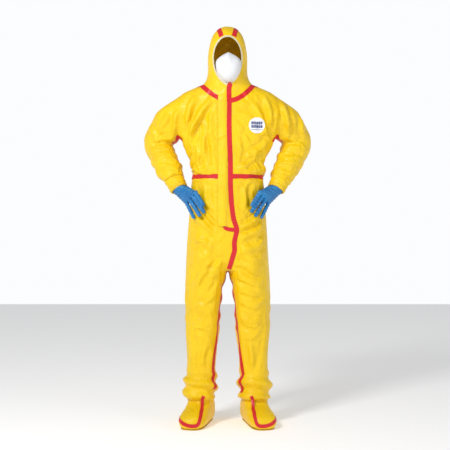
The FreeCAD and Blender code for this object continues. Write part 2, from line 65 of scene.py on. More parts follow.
# ---------------------------------------------------------------- driving sizes
SHOULDER = Vector(JOINTS["shoulder_left"]["pos_m"])
ELBOW = Vector(JOINTS["elbow_left"]["pos_m"])
KNEE = Vector(JOINTS["knee_left"]["pos_m"])
FLAP_HINGE = Vector(JOINTS["storm_flap_hinge"]["pos_m"])
FRONT_UP = Vector(JOINTS["storm_flap_hinge"]["axis"])
UPPER_DIR = (ELBOW - SHOULDER).normalized()
FOREARM_DIR = Vector(JOINTS["glove_slide_left"]["axis"])
FOREARM = 0.271  # elbow to wrist
WRIST = ELBOW + FOREARM_DIR * FOREARM
CROOK_DIR = (FOREARM_DIR - UPPER_DIR).normalized()  # from the elbow into its crook
MID_Y = SHOULDER.y - 0.005  # the wearer's centre line, seen from the side

VOXEL = 0.010  # grain of the skin that joins trunk, hood and limbs
RING = 48  # points round a section
RING_STEPS = 5  # sections filled in between two given ones
FILM = 0.0007  # drawn thickness of the fabric
TAPE = 0.022  # width of a seam tape
WAIST_Z = (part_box("waist_seam_tape")[0].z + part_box("waist_seam_tape")[1].z) / 2
TAPE_RISE = 0.0006  # gap between fabric and tape
TAPE_THICK = 0.0007
X = Vector((1, 0, 0))
Y = Vector((0, 1, 0))
Z = Vector((0, 0, 1))
SIDES = {"left": 1, "right": -1}


def smooth(low, high, value):
    """0 below low, 1 above high and an even S between them."""
    t = np.clip((value - low) / (high - low), 0, 1)
    return t * t * (3 - 2 * t)


def front_y(z):
    """The straight front line that the zip lies on."""
    return FLAP_HINGE.y + (z - FLAP_HINGE.z) * FRONT_UP.y / FRONT_UP.z


def mirror_if(point, side):
    """The same point on the left (side 1) or the right (side -1)."""
    return Vector((point.x * side, point.y, point.z))


# ---------------------------------------------------------------- forms from sections
def ring(centre, across, up, half_across, half_up, power=2.0):
    """Points of a rounded section in the plane of two unit vectors."""
    points = []
    for i in range(RING):
        t = 2 * math.pi * i / RING
        c, s = math.cos(t), math.sin(t)
        a = math.copysign(abs(c) ** (2 / power), c) * half_across
        b = math.copysign(abs(s) ** (2 / power), s) * half_up
        points.append(centre + across * a + up * b)
    return np.array(points)


def level(z, half_width, front, back, power=2.0):
    """A level section of the trunk or hood, front and back from the centre line."""
    centre = Vector((0, MID_Y + (front + back) / 2, z))
    return ring(centre, X, Y, half_width, (back - front) / 2, power)


def between_rings(rings):
    """Rings filled in along a smooth curve through the given ones."""
    rings = np.array(rings)
    padded = np.concatenate([rings[:1], rings, rings[-1:]])
    out = []
    for i in range(len(rings) - 1):
        a, b, c, d = padded[i : i + 4]
        for k in range(RING_STEPS):
            t = k / RING_STEPS
            cubic = (2 * a - 5 * b + 4 * c - d) * t * t + (3 * b - a - 3 * c + d) * t**3
            out.append(0.5 * (2 * b + (c - a) * t + cubic))
    out.append(rings[-1])
    return np.array(out)


def new_mesh(name, points, faces):
    mesh = bpy.data.meshes.new(name)
    mesh.from_pydata([tuple(p) for p in points], [], faces)
    mesh.validate()
    piece = bpy.data.objects.new(name, mesh)
    bpy.context.scene.collection.objects.link(piece)
    return piece


def grid_faces(rows, columns, closed):
    """Quads of a grid; closed joins the last column to the first."""
    faces = []
    last = columns if closed else columns - 1
    for r in range(rows - 1):
        for c in range(last):
            d = (c + 1) % columns
            base, above = r * columns, (r + 1) * columns
            faces.append((base + c, base + d, above + d, above + c))
    return faces


def loft(name, rings):
    """A closed form through the rings, with flat ends."""
    dense = between_rings(rings)
    rows = len(dense)
    faces = grid_faces(rows, RING, True)
    faces.append(tuple(range(RING))[::-1])
    faces.append(tuple(range((rows - 1) * RING, rows * RING)))
    return closed_mesh(name, dense.reshape(-1, 3), faces)


def closed_mesh(name, points, faces):
    """A mesh whose faces all look outward."""
    piece = new_mesh(name, points, faces)
    fix_normals(piece)
    return piece


def other_side(faces, count):
    """The same faces turned over, on a second skin whose points follow the first's."""
    return [tuple(i + count for i in reversed(face)) for face in faces]


def side_wall(base, columns, count):
    """Quads that close a ring of points against the same ring of the second skin."""
    faces = []
    for c in range(columns):
        d = (c + 1) % columns
        faces.append((base + c, base + d, base + d + count, base + c + count))
    return faces


def fix_normals(piece):
    form = bmesh.new()
    form.from_mesh(piece.data)
    bmesh.ops.recalc_face_normals(form, faces=form.faces)
    form.to_mesh(piece.data)
    form.free()


def trunk_rings(grow):
    rows = [  # height, half width, front, back, squareness
        (0.742, 0.140, -0.120, 0.110, 2.0),
        (0.775, 0.180, -0.136, 0.120, 2.2),
        (0.868, 0.190, -0.140, 0.123, 2.3),
        (0.966, 0.181, -0.134, 0.122, 2.3),
        (1.050, 0.173, -0.128, 0.112, 2.3),
        (1.150, 0.167, -0.121, 0.106, 2.3),
        (1.220, 0.175, -0.117, 0.112, 2.3),
        (1.300, 0.203, -0.112, 0.118, 2.3),
        (1.360, 0.222, -0.108, 0.120, 2.3),
        (1.420, 0.232, -0.105, 0.118, 2.3),
        (1.485, 0.236, -0.101, 0.112, 2.3),
        (1.528, 0.230, -0.092, 0.106, 2.1),
        (1.556, 0.178, -0.082, 0.102, 2.0),
        (1.578, 0.120, -0.076, 0.100, 2.0),
        (1.600, 0.100, -0.070, 0.096, 2.0),
    ]
    return [level(z, w + grow, f - grow, b + grow, p) for z, w, f, b, p in rows]


def hood_rings(grow):
    rows = [
        (1.500, 0.128, -0.096, 0.100),
        (1.545, 0.122, -0.097, 0.104),
        (1.587, 0.108, -0.099, 0.108),
        (1.615, 0.096, -0.102, 0.110),
        (1.650, 0.0925, -0.1025, 0.114),
        (1.704, 0.0935, -0.104, 0.121),
        (1.750, 0.088, -0.103, 0.122),
        (1.790, 0.079, -0.093, 0.110),
        (1.820, 0.065, -0.071, 0.090),
        (1.840, 0.047, -0.044, 0.064),
        (1.850, 0.024, -0.014, 0.034),
    ]
    return [level(z, w + grow, f - grow, b + grow) for z, w, f, b in rows]


def arm_rings(grow):
    """The left sleeve: wide at the armhole, bent at the elbow, narrow at the cuff."""
    rings = []
    for x, z, half_depth, half_height in (
        (0.140, 1.442, 0.080, 0.104),
        (0.195, 1.440, 0.084, 0.108),
    ):
        centre = Vector((x, SHOULDER.y, z))
        rings.append(ring(centre, Y * -1, Z, half_depth + grow, half_height + grow))
    front = (Y * -1 + UPPER_DIR * UPPER_DIR.y).normalized()
    rise = UPPER_DIR.cross(front)
    rise = rise if rise.z > 0 else rise * -1
    for along, radius, puff in ((0.085, 0.081, 0.008), (0.140, 0.073, 0.014)):
        centre = SHOULDER + UPPER_DIR * along + rise * puff
        rings.append(ring(centre, front, rise, radius + grow, radius + grow))
    side = UPPER_DIR.cross(CROOK_DIR).normalized()
    side = side if side.dot(front) > 0 else side * -1
    centre = ELBOW + CROOK_DIR * 0.004
    rings.append(ring(centre, side, CROOK_DIR * -1, 0.068 + grow, 0.076 + grow))
    for along, radius in (
        (0.075, 0.064),
        (0.125, 0.061),
        (0.185, 0.057),
        (0.235, 0.049),
        (FOREARM, 0.042),
        (FOREARM + 0.014, 0.041),
    ):
        out = FOREARM_DIR.cross(side).normalized()
        out = out if out.dot(CROOK_DIR * -1) > 0 else out * -1
        across = out.cross(FOREARM_DIR)
        across = across if across.dot(side) > 0 else across * -1
        centre = ELBOW + FOREARM_DIR * along
        rings.append(ring(centre, across, out, radius + grow, radius + grow))
    return rings


def leg_rings(grow):
    rows = [  # height, centre x, half width, centre y, half depth
        (0.800, 0.096, 0.094, -0.007, 0.124),
        (0.727, 0.101, 0.096, -0.006, 0.117),
        (0.635, 0.110, 0.090, -0.004, 0.104),
        (0.565, 0.113, 0.084, -0.005, 0.094),
        (0.500, 0.115, 0.083, -0.006, 0.088),
        (0.440, 0.116, 0.082, -0.004, 0.085),
        (0.340, 0.119, 0.070, 0.003, 0.079),
        (0.260, 0.121, 0.065, 0.010, 0.075),
        (0.215, 0.124, 0.072, 0.012, 0.082),
        (0.180, 0.126, 0.073, 0.012, 0.082),
        (0.145, 0.128, 0.070, 0.010, 0.080),
        (0.105, 0.128, 0.061, 0.014, 0.072),
        (0.060, 0.126, 0.052, 0.018, 0.062),
        (0.030, 0.124, 0.046, 0.022, 0.056),
    ]
    rings = []
    for z, cx, half_width, cy, half_depth in rows:
        centre = Vector((cx, MID_Y + cy, z))
        rings.append(ring(centre, X, Y, half_width + grow, half_depth + grow))
    return rings


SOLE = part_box("boot_sole_left")[1].z
HEEL = Vector((0.120, MID_Y + 0.022, 0.0))
TURN = Matrix.Rotation(math.radians(14.0), 3, "Z")


def foot_rings(grow):
    """The left foot from heel to toe, flat underneath, turned out a little."""
    rows = [  # distance in front of the ankle, half width, height
        (-0.090, 0.028, 0.058),
        (-0.078, 0.043, 0.094),
        (-0.040, 0.053, 0.126),
        (0.012, 0.058, 0.132),
        (0.060, 0.060, 0.114),
        (0.110, 0.063, 0.088),
        (0.160, 0.062, 0.072),
        (0.194, 0.050, 0.058),
        (0.211, 0.030, 0.040),
    ]
    rings = []
    for ahead, half_width, height in rows:
        lean = 0.004 * smooth(0.04, 0.16, ahead)
        centre = Vector((lean, -ahead, SOLE + height / 2))
        centre = HEEL + TURN @ centre
        half_height = height / 2 + min(grow, 0)
        rings.append(ring(centre, TURN @ X, Z, half_width + grow, half_height, 2.7))
    return rings


def mirrored(rings):
    """The same rings on the wearer's right."""
    return [r * np.array([-1, 1, 1]) for r in rings]


def suit_form(name, grow, limb_grow, foot_grow):
    """The whole outer form as one closed mesh, larger or slimmer by the growths."""
    parts = [loft("trunk", trunk_rings(grow)), loft("hood", hood_rings(grow))]
    for build, amount in (
        (arm_rings, limb_grow),
        (leg_rings, limb_grow),
        (foot_rings, foot_grow),
    ):
        rings = build(amount)
        parts.append(loft("limb", rings))
        parts.append(loft("limb", mirrored(rings)))
    return remeshed(name, parts, VOXEL)


def remeshed(name, parts, voxel):
    """Joins closed forms into one skin."""
    for other in bpy.context.selected_objects:
        other.select_set(False)
    for part in parts:
        part.select_set(True)
    bpy.context.view_layer.objects.active = parts[0]
    bpy.ops.object.join()
    whole = bpy.context.view_layer.objects.active
    whole.name = name
    modifier = whole.modifiers.new("voxels", "REMESH")
    modifier.mode = "VOXEL"
    modifier.voxel_size = voxel
    apply_all(whole)
    return whole


def apply_all(piece):
    """Replaces the mesh with what its modifiers make of it."""
    graph = bpy.context.evaluated_depsgraph_get()
    mesh = bpy.data.meshes.new_from_object(piece.evaluated_get(graph))
    piece.modifiers.clear()
    piece.data = mesh


def read_points(piece):
    points = np.empty(len(piece.data.vertices) * 3)
    piece.data.vertices.foreach_get("co", points)
    return points.reshape(-1, 3)


def write_points(piece, points):
    piece.data.vertices.foreach_set("co", points.reshape(-1))
    piece.data.update()


def read_normals(piece):
    normals = np.empty(len(piece.data.vertices) * 3)
    piece.data.vertices.foreach_get("normal", normals)
    return normals.reshape(-1, 3)


def relax(piece, rounds, factor=0.5):
    """Evens a mesh out by moving points towards their neighbours' middle."""
    points = read_points(piece)
    edges = np.empty(len(piece.data.edges) * 2, int)
    piece.data.edges.foreach_get("vertices", edges)
    a, b = edges.reshape(-1, 2).T
    count = np.bincount(a, minlength=len(points)) + np.bincount(b, minlength=len(points))
    for _ in range(rounds):
        total = np.zeros_like(points)
        np.add.at(total, a, points[b])
        np.add.at(total, b, points[a])
        points = points + factor * (total / count[:, None] - points)
    write_points(piece, points)


# ---------------------------------------------------------------- folds before draping
def wave(points, direction, length, phase=0.0, wander=0.0, seed=0.0):
    """A wave along a direction, whose crests wander."""
    along = points @ np.array(direction)
    shift = np.array([noise.noise(Vector(p) * 6.0 + Z * seed) for p in points])
    return np.sin(2 * math.pi * (along / length + phase + wander * shift))


def near(points, centre, radius):
    """1 at a centre, fading to 0 at the radius."""
    distance = np.linalg.norm(points - np.array(centre), axis=1)
    return 1 - smooth(0, radius, distance)


# The large folds that standing with both hands on the hips makes: each runs from x, z
# to x, z (the wearer's left is +x) and has a width and a height that it stands out.
CHEST_FOLDS = [
    (-0.186, 1.350, -0.085, 1.500, 0.016, 0.0075),
    (-0.180, 1.330, -0.120, 1.440, 0.013, 0.0060),
    (-0.200, 1.380, -0.150, 1.520, 0.015, 0.0065),
    (-0.075, 1.450, -0.068, 1.200, 0.014, 0.0060),
    (-0.112, 1.400, -0.098, 1.180, 0.013, 0.0050),
    (-0.150, 1.310, -0.125, 1.190, 0.012, 0.0045),
    (0.190, 1.350, 0.120, 1.480, 0.016, 0.0065),
    (0.205, 1.380, 0.175, 1.520, 0.014, 0.0060),
    (0.175, 1.320, 0.080, 1.215, 0.014, 0.0050),
    (0.060, 1.400, 0.055, 1.250, 0.013, 0.0035),
    (0.140, 1.260, 0.055, 1.180, 0.012, 0.0045),
]
HIP_FOLDS = [
    (-0.110, 1.110, -0.075, 0.985, 0.015, 0.0025),
    (-0.130, 1.000, -0.020, 0.915, 0.013, 0.0070),
    (-0.160, 0.960, -0.040, 0.880, 0.014, 0.0055),
    (0.090, 1.120, 0.070, 1.010, 0.014, 0.0045),
    (0.150, 0.985, 0.060, 0.905, 0.013, 0.0065),
    (0.165, 0.930, 0.060, 0.860, 0.014, 0.0055),
    (-0.170, 0.880, -0.030, 0.800, 0.016, 0.0060),
    (0.170, 0.860, 0.045, 0.790, 0.016, 0.0060),
]
LEG_FOLDS = [
    (-0.025, 0.760, -0.110, 0.700, 0.013, 0.0065),
    (-0.080, 0.760, -0.160, 0.650, 0.012, 0.0060),
    (-0.045, 0.715, -0.150, 0.600, 0.012, 0.0060),
    (-0.040, 0.650, -0.120, 0.585, 0.012, 0.0050),
    (-0.160, 0.560, -0.060, 0.540, 0.014, 0.0050),
    (-0.165, 0.475, -0.085, 0.468, 0.011, 0.0065),
    (-0.150, 0.420, -0.060, 0.395, 0.014, 0.0040),
    (-0.105, 0.380, -0.115, 0.260, 0.013, 0.0035),
    (0.030, 0.745, 0.165, 0.735, 0.012, 0.0065),
    (0.040, 0.705, 0.160, 0.665, 0.012, 0.0065),
    (0.045, 0.640, 0.165, 0.625, 0.012, 0.0065),
    (0.055, 0.590, 0.165, 0.570, 0.013, 0.0060),
    (0.060, 0.500, 0.150, 0.475, 0.012, 0.0065),
    (0.075, 0.430, 0.160, 0.445, 0.013, 0.0050),
    (0.110, 0.400, 0.105, 0.270, 0.013, 0.0040),
]
ARM_FOLDS = [
    (-0.367, 1.400, -0.330, 1.318, 0.012, 0.0060),
    (-0.225, 1.460, -0.266, 1.350, 0.013, 0.0065),
    (-0.280, 1.450, -0.315, 1.370, 0.012, 0.0045),
    (-0.350, 1.318, -0.285, 1.312, 0.011, 0.0060),
    (-0.375, 1.268, -0.295, 1.280, 0.011, 0.0055),
    (-0.350, 1.215, -0.255, 1.232, 0.012, 0.0050),
    (-0.320, 1.140, -0.234, 1.187, 0.012, 0.0055),
    (0.263, 1.510, 0.282, 1.345, 0.013, 0.0070),
    (0.238, 1.462, 0.211, 1.365, 0.012, 0.0055),
    (0.338, 1.462, 0.366, 1.349, 0.013, 0.0050),
    (0.288, 1.332, 0.374, 1.276, 0.011, 0.0060),
    (0.260, 1.245, 0.350, 1.228, 0.012, 0.0055),
    (0.243, 1.187, 0.324, 1.139, 0.012, 0.0055),
]
BACK_FOLDS = [
    (-0.175, 1.350, -0.090, 1.470, 0.015, 0.0055),
    (0.175, 1.345, 0.085, 1.475, 0.015, 0.0055),
    (-0.160, 1.320, -0.055, 1.400, 0.013, 0.0045),
    (0.160, 1.315, 0.050, 1.410, 0.013, 0.0045),
    (-0.105, 1.300, -0.085, 1.170, 0.013, 0.0050),
    (0.095, 1.310, 0.105, 1.170, 0.013, 0.0050),
    (-0.035, 1.270, -0.020, 1.170, 0.012, 0.0040),
    (0.040, 1.280, 0.030, 1.170, 0.012, 0.0040),
    (-0.145, 1.070, -0.030, 0.985, 0.014, 0.0050),
    (0.145, 1.060, 0.040, 0.990, 0.014, 0.0050),
    (-0.165, 0.900, -0.025, 0.830, 0.014, 0.0055),
    (0.165, 0.905, 0.025, 0.835, 0.014, 0.0055),
    (-0.045, 0.800, -0.155, 0.760, 0.013, 0.0055),
    (0.045, 0.795, 0.155, 0.750, 0.013, 0.0055),
    (-0.160, 0.665, -0.055, 0.705, 0.013, 0.0045),
    (0.055, 0.695, 0.160, 0.655, 0.013, 0.0045),
    (-0.165, 0.525, -0.060, 0.505, 0.012, 0.0060),
    (-0.155, 0.480, -0.065, 0.490, 0.012, 0.0050),
    (0.060, 0.515, 0.165, 0.500, 0.012, 0.0060),
    (0.070, 0.470, 0.160, 0.485, 0.012, 0.0050),
]
FOLD_GAIN = 1.25
FURROW = 0.6  # depth of the furrows beside a ridge, as a share of its height
FOLD_SWAY = 0.006  # how far the line of a fold wanders sideways
LEG_GAIN = 1.35  # the legs' folds stand out further


def fold_line(points, facing, fold):
    """One soft fold: a ridge with a furrow under it, fading at both ends."""
    x0, z0, x1, z1, width, height = fold
    start, run = np.array([x0, z0]), np.array([x1 - x0, z1 - z0])
    length = np.linalg.norm(run)
    flat = points[:, [0, 2]] - start
    along = flat @ run / length**2
    across = (flat[:, 0] * run[1] - flat[:, 1] * run[0]) / length
    across = across + FOLD_SWAY * np.sin(along * 5.0 + x0 * 40.0)
    fade = smooth(-0.12, 0.25, along) * (1 - smooth(0.70, 1.15, along))
    ridge = np.exp(-((across / (0.8 * width)) ** 2))
    furrow = np.exp(-(((np.abs(across) - 1.5 * width) / (0.8 * width)) ** 2))
    return FOLD_GAIN * height * facing * fade * (ridge - FURROW * furrow)


CROOK_WAY = (FOREARM_DIR + UPPER_DIR * 0.6).normalized()
SLEEVE_WAVES = [  # centre, reach, direction, wavelength, phase, wander, seed, height
    (ELBOW + CROOK_DIR * 0.05, 0.12, CROOK_WAY, 0.040, 0, 0.4, 7, 0.0085),
    (ELBOW + FOREARM_DIR * 0.13, 0.17, (FOREARM_DIR + X * 0.5).normalized(), 0.062, 0.2, 0.7, 9, 0.0045),
    (SHOULDER + UPPER_DIR * 0.09, 0.15, Vector((0.35, 0, 0.94)), 0.075, 0.1, 0.6, 10, 0.0060),
    (Vector((0.175, MID_Y - 0.07, 1.36)), 0.12, Vector((0.8, 0, -0.55)), 0.048, 0.3, 0.35, 11, 0.0065),
]


def shape_folds(piece):
    """Raises the large folds that the wearer's pose makes, along the normals."""
    points, normals = read_points(piece), read_normals(piece)
    x, y, z = points.T
    broad = np.array([noise.noise(Vector(p) * 9.0) for p in points])
    rise = 0.0035 * broad * smooth(0.16, 0.30, z) * (1 - smooth(1.52, 1.58, z))
    facing = smooth(0.05, 0.6, -normals[:, 1])
    # the rolls that the trouser legs make over the boots
    stack = smooth(0.115, 0.150, z) * (1 - smooth(0.215, 0.30, z))
    rise += 0.0095 * stack * wave(points, (0.22, 0.22, 1), 0.058, 0.15, 0.55, 2.0)
    rise += 0.0060 * stack
    # slack across the thighs and behind the knees
    thigh = smooth(0.40, 0.52, z) * (1 - smooth(0.66, 0.76, z)) * (1 - 0.6 * facing)
    rise += 0.0040 * thigh * wave(points, (0.3, 0.1, 1), 0.085, 0.0, 0.9, 5.0)
    for side in SIDES.values():
        for centre, reach, way, length, phase, wander, seed, height in SLEEVE_WAVES:
            close = near(points, mirror_if(centre, side), reach)
            rise += height * close * wave(points, mirror_if(way, side), length, phase, wander, seed)
    # the fabric blouses over the waist and the elastic gathers the back
    blouse = np.exp(-(((z - WAIST_Z - 0.035) / 0.026) ** 2))
    blouse -= 0.8 * np.exp(-(((z - WAIST_Z) / 0.012) ** 2))
    rise += 0.0065 * blouse * (np.abs(x) < 0.2) * (z > 1.1)
    back = smooth(MID_Y, MID_Y + 0.06, y) * (1 - smooth(0.02, 0.11, abs(z - WAIST_Z)))
    rise += 0.0045 * back * wave(points, (1, 0, 0), 0.034, 0.0, 0.3, 15.0)
    # soft folds across the back and the seat
    rear = smooth(0.05, 0.6, normals[:, 1]) * (np.abs(x) < 0.22)
    rise += 0.0035 * rear * (z > 1.2) * (z < 1.5) * wave(points, (0.8, 0, 0.5), 0.11, 0, 0.8, 21.0)
    rise += 0.0050 * rear * (z > 0.7) * (z < 1.05) * wave(points, (0.3, 0, 1), 0.10, 0, 0.8, 23.0)
    write_points(piece, points + normals * (rise * loose(points))[:, None])
    crease(piece, 1.0)


def crease(piece, strength):
    """Presses the listed folds into the trunk, the legs and the front of the sleeves."""
    points, normals = read_points(piece), read_normals(piece)
    front = smooth(0.05, 0.6, -normals[:, 1])
    sleeve = smooth(0.205, 0.235, np.abs(points[:, 0])) * (points[:, 2] > 1.0)
    rise = np.zeros(len(points))
    for fold in CHEST_FOLDS + HIP_FOLDS:
        rise += strength * fold_line(points, front * (1 - sleeve), fold)
    for fold in LEG_FOLDS:
        rise += LEG_GAIN * strength * fold_line(points, front, fold)
    rear = smooth(0.05, 0.6, normals[:, 1])
    for fold in BACK_FOLDS:
        rise += strength * fold_line(points, rear * (1 - sleeve), fold)
    for fold in ARM_FOLDS:
        rise += strength * fold_line(points, front * sleeve, fold)
    write_points(piece, points + normals * (rise * loose(points))[:, None])


def loose(points):
    """How far the fabric may move: none at the zip, hood, cuffs and boots."""
    x, y, z = points.T
    front = smooth(0.030, 0.075, abs(x + 0.005)) + smooth(MID_Y - 0.03, MID_Y + 0.02, y)
    free = np.clip(front + smooth(0.90, 0.86, z), 0, 1)
    free = np.where(z < 0.88, 1.0, free)
    free *= 1 - 0.85 * smooth(1.53, 1.60, z)
    free *= smooth(0.075, 0.125, z)
    for side in SIDES.values():
        axis, wrist = mirror_if(FOREARM_DIR, side), mirror_if(WRIST, side)
        ahead = (points - np.array(wrist)) @ np.array(axis)
        reach = np.linalg.norm(points - np.array(wrist), axis=1)
        free *= 1 - smooth(-0.05, -0.012, ahead) * (reach < 0.085)
    return free


# ---------------------------------------------------------------- draping
DRAPE_FRAMES = 26
DRAPE_SLACK = 0.045
DRAPE_REACH = 0.022


def drape(suit, body):
    """Cloth simulation: the slack suit settles over the slimmer body."""
    start = read_points(suit)
    group = suit.vertex_groups.new(name="held")
    held = 1 - loose(start)
    for index, weight in enumerate(held):
        if weight > 0.02:
            group.add([index], float(weight), "REPLACE")
    cloth = suit.modifiers.new("cloth", "CLOTH")
    settings = cloth.settings
    settings.quality = 5
    settings.mass = 0.15
    settings.tension_stiffness = 18
    settings.compression_stiffness = 12
    settings.shear_stiffness = 6
    settings.bending_stiffness = 0.35
    settings.tension_damping = 6
    settings.compression_damping = 6
    settings.shear_damping = 6
    settings.air_damping = 2.0
    settings.shrink_min = -DRAPE_SLACK
    settings.vertex_group_mass = "held"
    settings.pin_stiffness = 3.0
    cloth.collision_settings.use_collision = True
    cloth.collision_settings.distance_min = 0.004
    cloth.collision_settings.collision_quality = 2
    cloth.collision_settings.use_self_collision = False
    cloth.point_cache.frame_start = 1
    cloth.point_cache.frame_end = DRAPE_FRAMES
    body.modifiers.new("solid", "COLLISION")
    body.collision.thickness_outer = 0.003
    body.collision.cloth_friction = 8.0
    scene = bpy.context.scene
    for frame_number in range(1, DRAPE_FRAMES + 1):
        scene.frame_set(frame_number)
    apply_all(suit)
    scene.frame_set(1)
    moved = read_points(suit) - start
    distance = np.linalg.norm(moved, axis=1, keepdims=True)
    moved *= np.minimum(1, DRAPE_REACH / np.maximum(distance, 1e-9))
    moved *= 1 - 0.85 * near(start, CROTCH, 0.065)[:, None]
    write_points(suit, start + moved)


STRIP_ASIDE = 0.022  # from the flap's hinge to the middle of the strip behind the zip
STRIP_FLAT = 0.034  # this far from its middle the strip is flat
STRIP_FREE = 0.060  # and from here on the fabric is free
FRONT_PROUD = 0.0015
SOLE_SPREAD = 0.0035  # how far the boots fill out sideways to their soles
SOLE_PRESSED = 0.030  # height over which the boots are pressed flat
SOLE_FLATNESS = 0.75


def flatten_front(piece):
    """Keeps the strip behind the zip on the CAD model's straight front line."""
    points = read_points(piece)
    x, y, z = points.T
    aside = abs(x - FLAP_HINGE.x + STRIP_ASIDE)
    strip = (1 - smooth(STRIP_FLAT, STRIP_FREE, aside)) * (y < MID_Y)
    strip *= smooth(0.84, 0.92, z) * (1 - smooth(1.50, 1.53, z))
    points[:, 1] += strip * (front_y(z) + FRONT_PROUD - y)
    write_points(piece, points)


def flatten_soles(piece):
    """Presses the boots flat on their soles and fills them out to the soles' edges."""
    points, normals = read_points(piece), read_normals(piece)
    z = points[:, 2]
    lowest = z.min()
    low = 1 - smooth(0.0, SOLE_PRESSED, z - lowest)
    level_normals = normals * np.array([1, 1, 0])
    points += level_normals * (SOLE_SPREAD * (1 - smooth(0.012, 0.05, z - lowest)))[:, None]
    points[:, 2] -= (lowest - SOLE) + low * (z - lowest) * SOLE_FLATNESS
    points[:, 2] += (lowest - SOLE) * smooth(0.05, 0.15, z)
    write_points(piece, points)


def make_suit():
    suit = suit_form("suit_form", 0.0, 0.0, 0.0)
    relax(suit, 5)
    shape_folds(suit)
    flatten_front(suit)
    body = suit_form("body_form", -0.013, -0.013, -0.008)
    relax(body, 3)
    drape(suit, body)
    bpy.data.objects.remove(body)
    crease(suit, 1.0)
    flatten_front(suit)
    flatten_soles(suit)
    suit.modifiers.new("fine", "SUBSURF").levels = 1
    apply_all(suit)
    return suit


# ---------------------------------------------------------------- materials
def new_material(name, colour, roughness, metallic=0.0):
    material = bpy.data.materials.new(name)
    material.use_nodes = True
    material.diffuse_color = (*colour, 1)
    shader = material.node_tree.nodes["Principled BSDF"]
    shader.inputs["Base Color"].default_value = (*colour, 1)
    shader.inputs["Roughness"].default_value = roughness
    shader.inputs["Metallic"].default_value = metallic
    return material


def add_node(material, kind, **settings):
    node = material.node_tree.nodes.new(kind)
    for name, value in settings.items():
        if name in node.inputs:
            node.inputs[name].default_value = value
        else:
            setattr(node, name, value)
    return node


def join(material, source, output, target, entry):
    material.node_tree.links.new(source.outputs[output], target.inputs[entry])


def textured(material, **settings):
    """A noise texture in the object's own coordinates, with its contrast set."""
    place = add_node(material, "ShaderNodeTexCoord")
    grain = add_node(material, "ShaderNodeTexNoise", **settings)
    join(material, place, "Object", grain, "Vector")
    return grain


def bumped(material, layers, strength=1.0):
    """Stacks bump layers: (source node, output name, height in metres)."""
    shader = material.node_tree.nodes["Principled BSDF"]
    last = None
    for source, output, height in layers:
        bump = add_node(material, "ShaderNodeBump", Strength=strength, Distance=height)
        join(material, source, output, bump, "Height")
        if last:
            join(material, last, "Normal", bump, "Normal")
        last = bump
    join(material, last, "Normal", shader, "Normal")


def mottled(material, grain, low, high):
    """Base colour between two colours, following a noise."""
    shader = material.node_tree.nodes["Principled BSDF"]
    ramp = add_node(material, "ShaderNodeValToRGB")
    ramp.color_ramp.elements[0].position = 0.3
    ramp.color_ramp.elements[0].color = (*low, 1)
    ramp.color_ramp.elements[1].position = 0.7
    ramp.color_ramp.elements[1].color = (*high, 1)
    join(material, grain, "Fac", ramp, "Fac")
    join(material, ramp, "Color", shader, "Base Color")


def rough_between(material, grain, low, high):
    shader = material.node_tree.nodes["Principled BSDF"]
    span = add_node(material, "ShaderNodeMapRange")
    span.inputs["From Min"].default_value = 0.3
    span.inputs["From Max"].default_value = 0.7
    span.inputs["To Min"].default_value = low
    span.inputs["To Max"].default_value = high
    join(material, grain, "Fac", span, "Value")
    join(material, span, "Result", shader, "Roughness")


def film_material(name, low, high, shine, crinkle):
    """Coated non-woven: soft colour drift, small crinkles and a fine emboss."""
    material = new_material(name, high, 0.4)
    shader = material.node_tree.nodes["Principled BSDF"]
    shader.inputs["Coat Weight"].default_value = shine
    shader.inputs["Coat Roughness"].default_value = 0.28
    shader.inputs["Specular IOR Level"].default_value = 0.25
    drift = textured(material, Scale=9.0, Detail=4.0, Roughness=0.55)
    mottled(material, drift, low, high)
    rub = textured(material, Scale=45.0, Detail=3.0)
    rough_between(material, rub, 0.36, 0.52)
    broad = textured(material, Scale=16.0, Detail=2.0, Distortion=1.4)
    small = textured(material, Scale=48.0, Detail=3.0, Distortion=2.2)
    emboss = add_node(material, "ShaderNodeTexVoronoi", Scale=520.0, feature="F1")
    place = add_node(material, "ShaderNodeTexCoord")
    join(material, place, "Object", emboss, "Vector")
    layers = [
        (broad, "Fac", 0.010 * crinkle),
        (small, "Fac", 0.0030 * crinkle),
        (emboss, "Distance", 0.00012),
    ]
    bumped(material, layers)
    return material


def woven_material(name, colour, threads, roughness=0.8):
    """Two crossed sets of threads."""
    material = new_material(name, colour, roughness)
    place = add_node(material, "ShaderNodeTexCoord")
    layers = []
    for direction in ("X", "Z"):
        thread = add_node(material, "ShaderNodeTexWave", Scale=threads, bands_direction=direction)
        join(material, place, "Object", thread, "Vector")
        layers.append((thread, "Fac", 0.0004))
    bumped(material, layers, 0.6)
    shade = textured(material, Scale=180.0, Detail=2.0)
    low = tuple(c * 0.82 for c in colour)
    mottled(material, shade, low, colour)
    return material


def fibre_material(name, colour):
    """Pressed fibre of the mask: matt, with a fine random nap."""
    material = new_material(name, colour, 0.85)
    nap = textured(material, Scale=900.0, Detail=4.0, Roughness=0.7)
    soft = textured(material, Scale=60.0, Detail=2.0)
    bumped(material, [(soft, "Fac", 0.0012), (nap, "Fac", 0.0003)])
    mottled(material, soft, tuple(c * 0.96 for c in colour), colour)
    return material


def rubber_material(name, low, high):
    material = new_material(name, high, 0.36)
    drift = textured(material, Scale=26.0, Detail=3.0)
    mottled(material, drift, low, high)
    crease = textured(material, Scale=75.0, Detail=4.0, Distortion=1.0)
    pebble = textured(material, Scale=1400.0, Detail=2.0)
    bumped(material, [(crease, "Fac", 0.0016), (pebble, "Fac", 0.0001)])
    rough_between(material, crease, 0.30, 0.46)
    return material


def metal_material(name, colour, roughness):
    material = new_material(name, colour, roughness, 1.0)
    scratch = textured(material, Scale=700.0, Detail=3.0)
    rough_between(material, scratch, roughness - 0.08, roughness + 0.12)
    bumped(material, [(scratch, "Fac", 0.00005)])
    return material


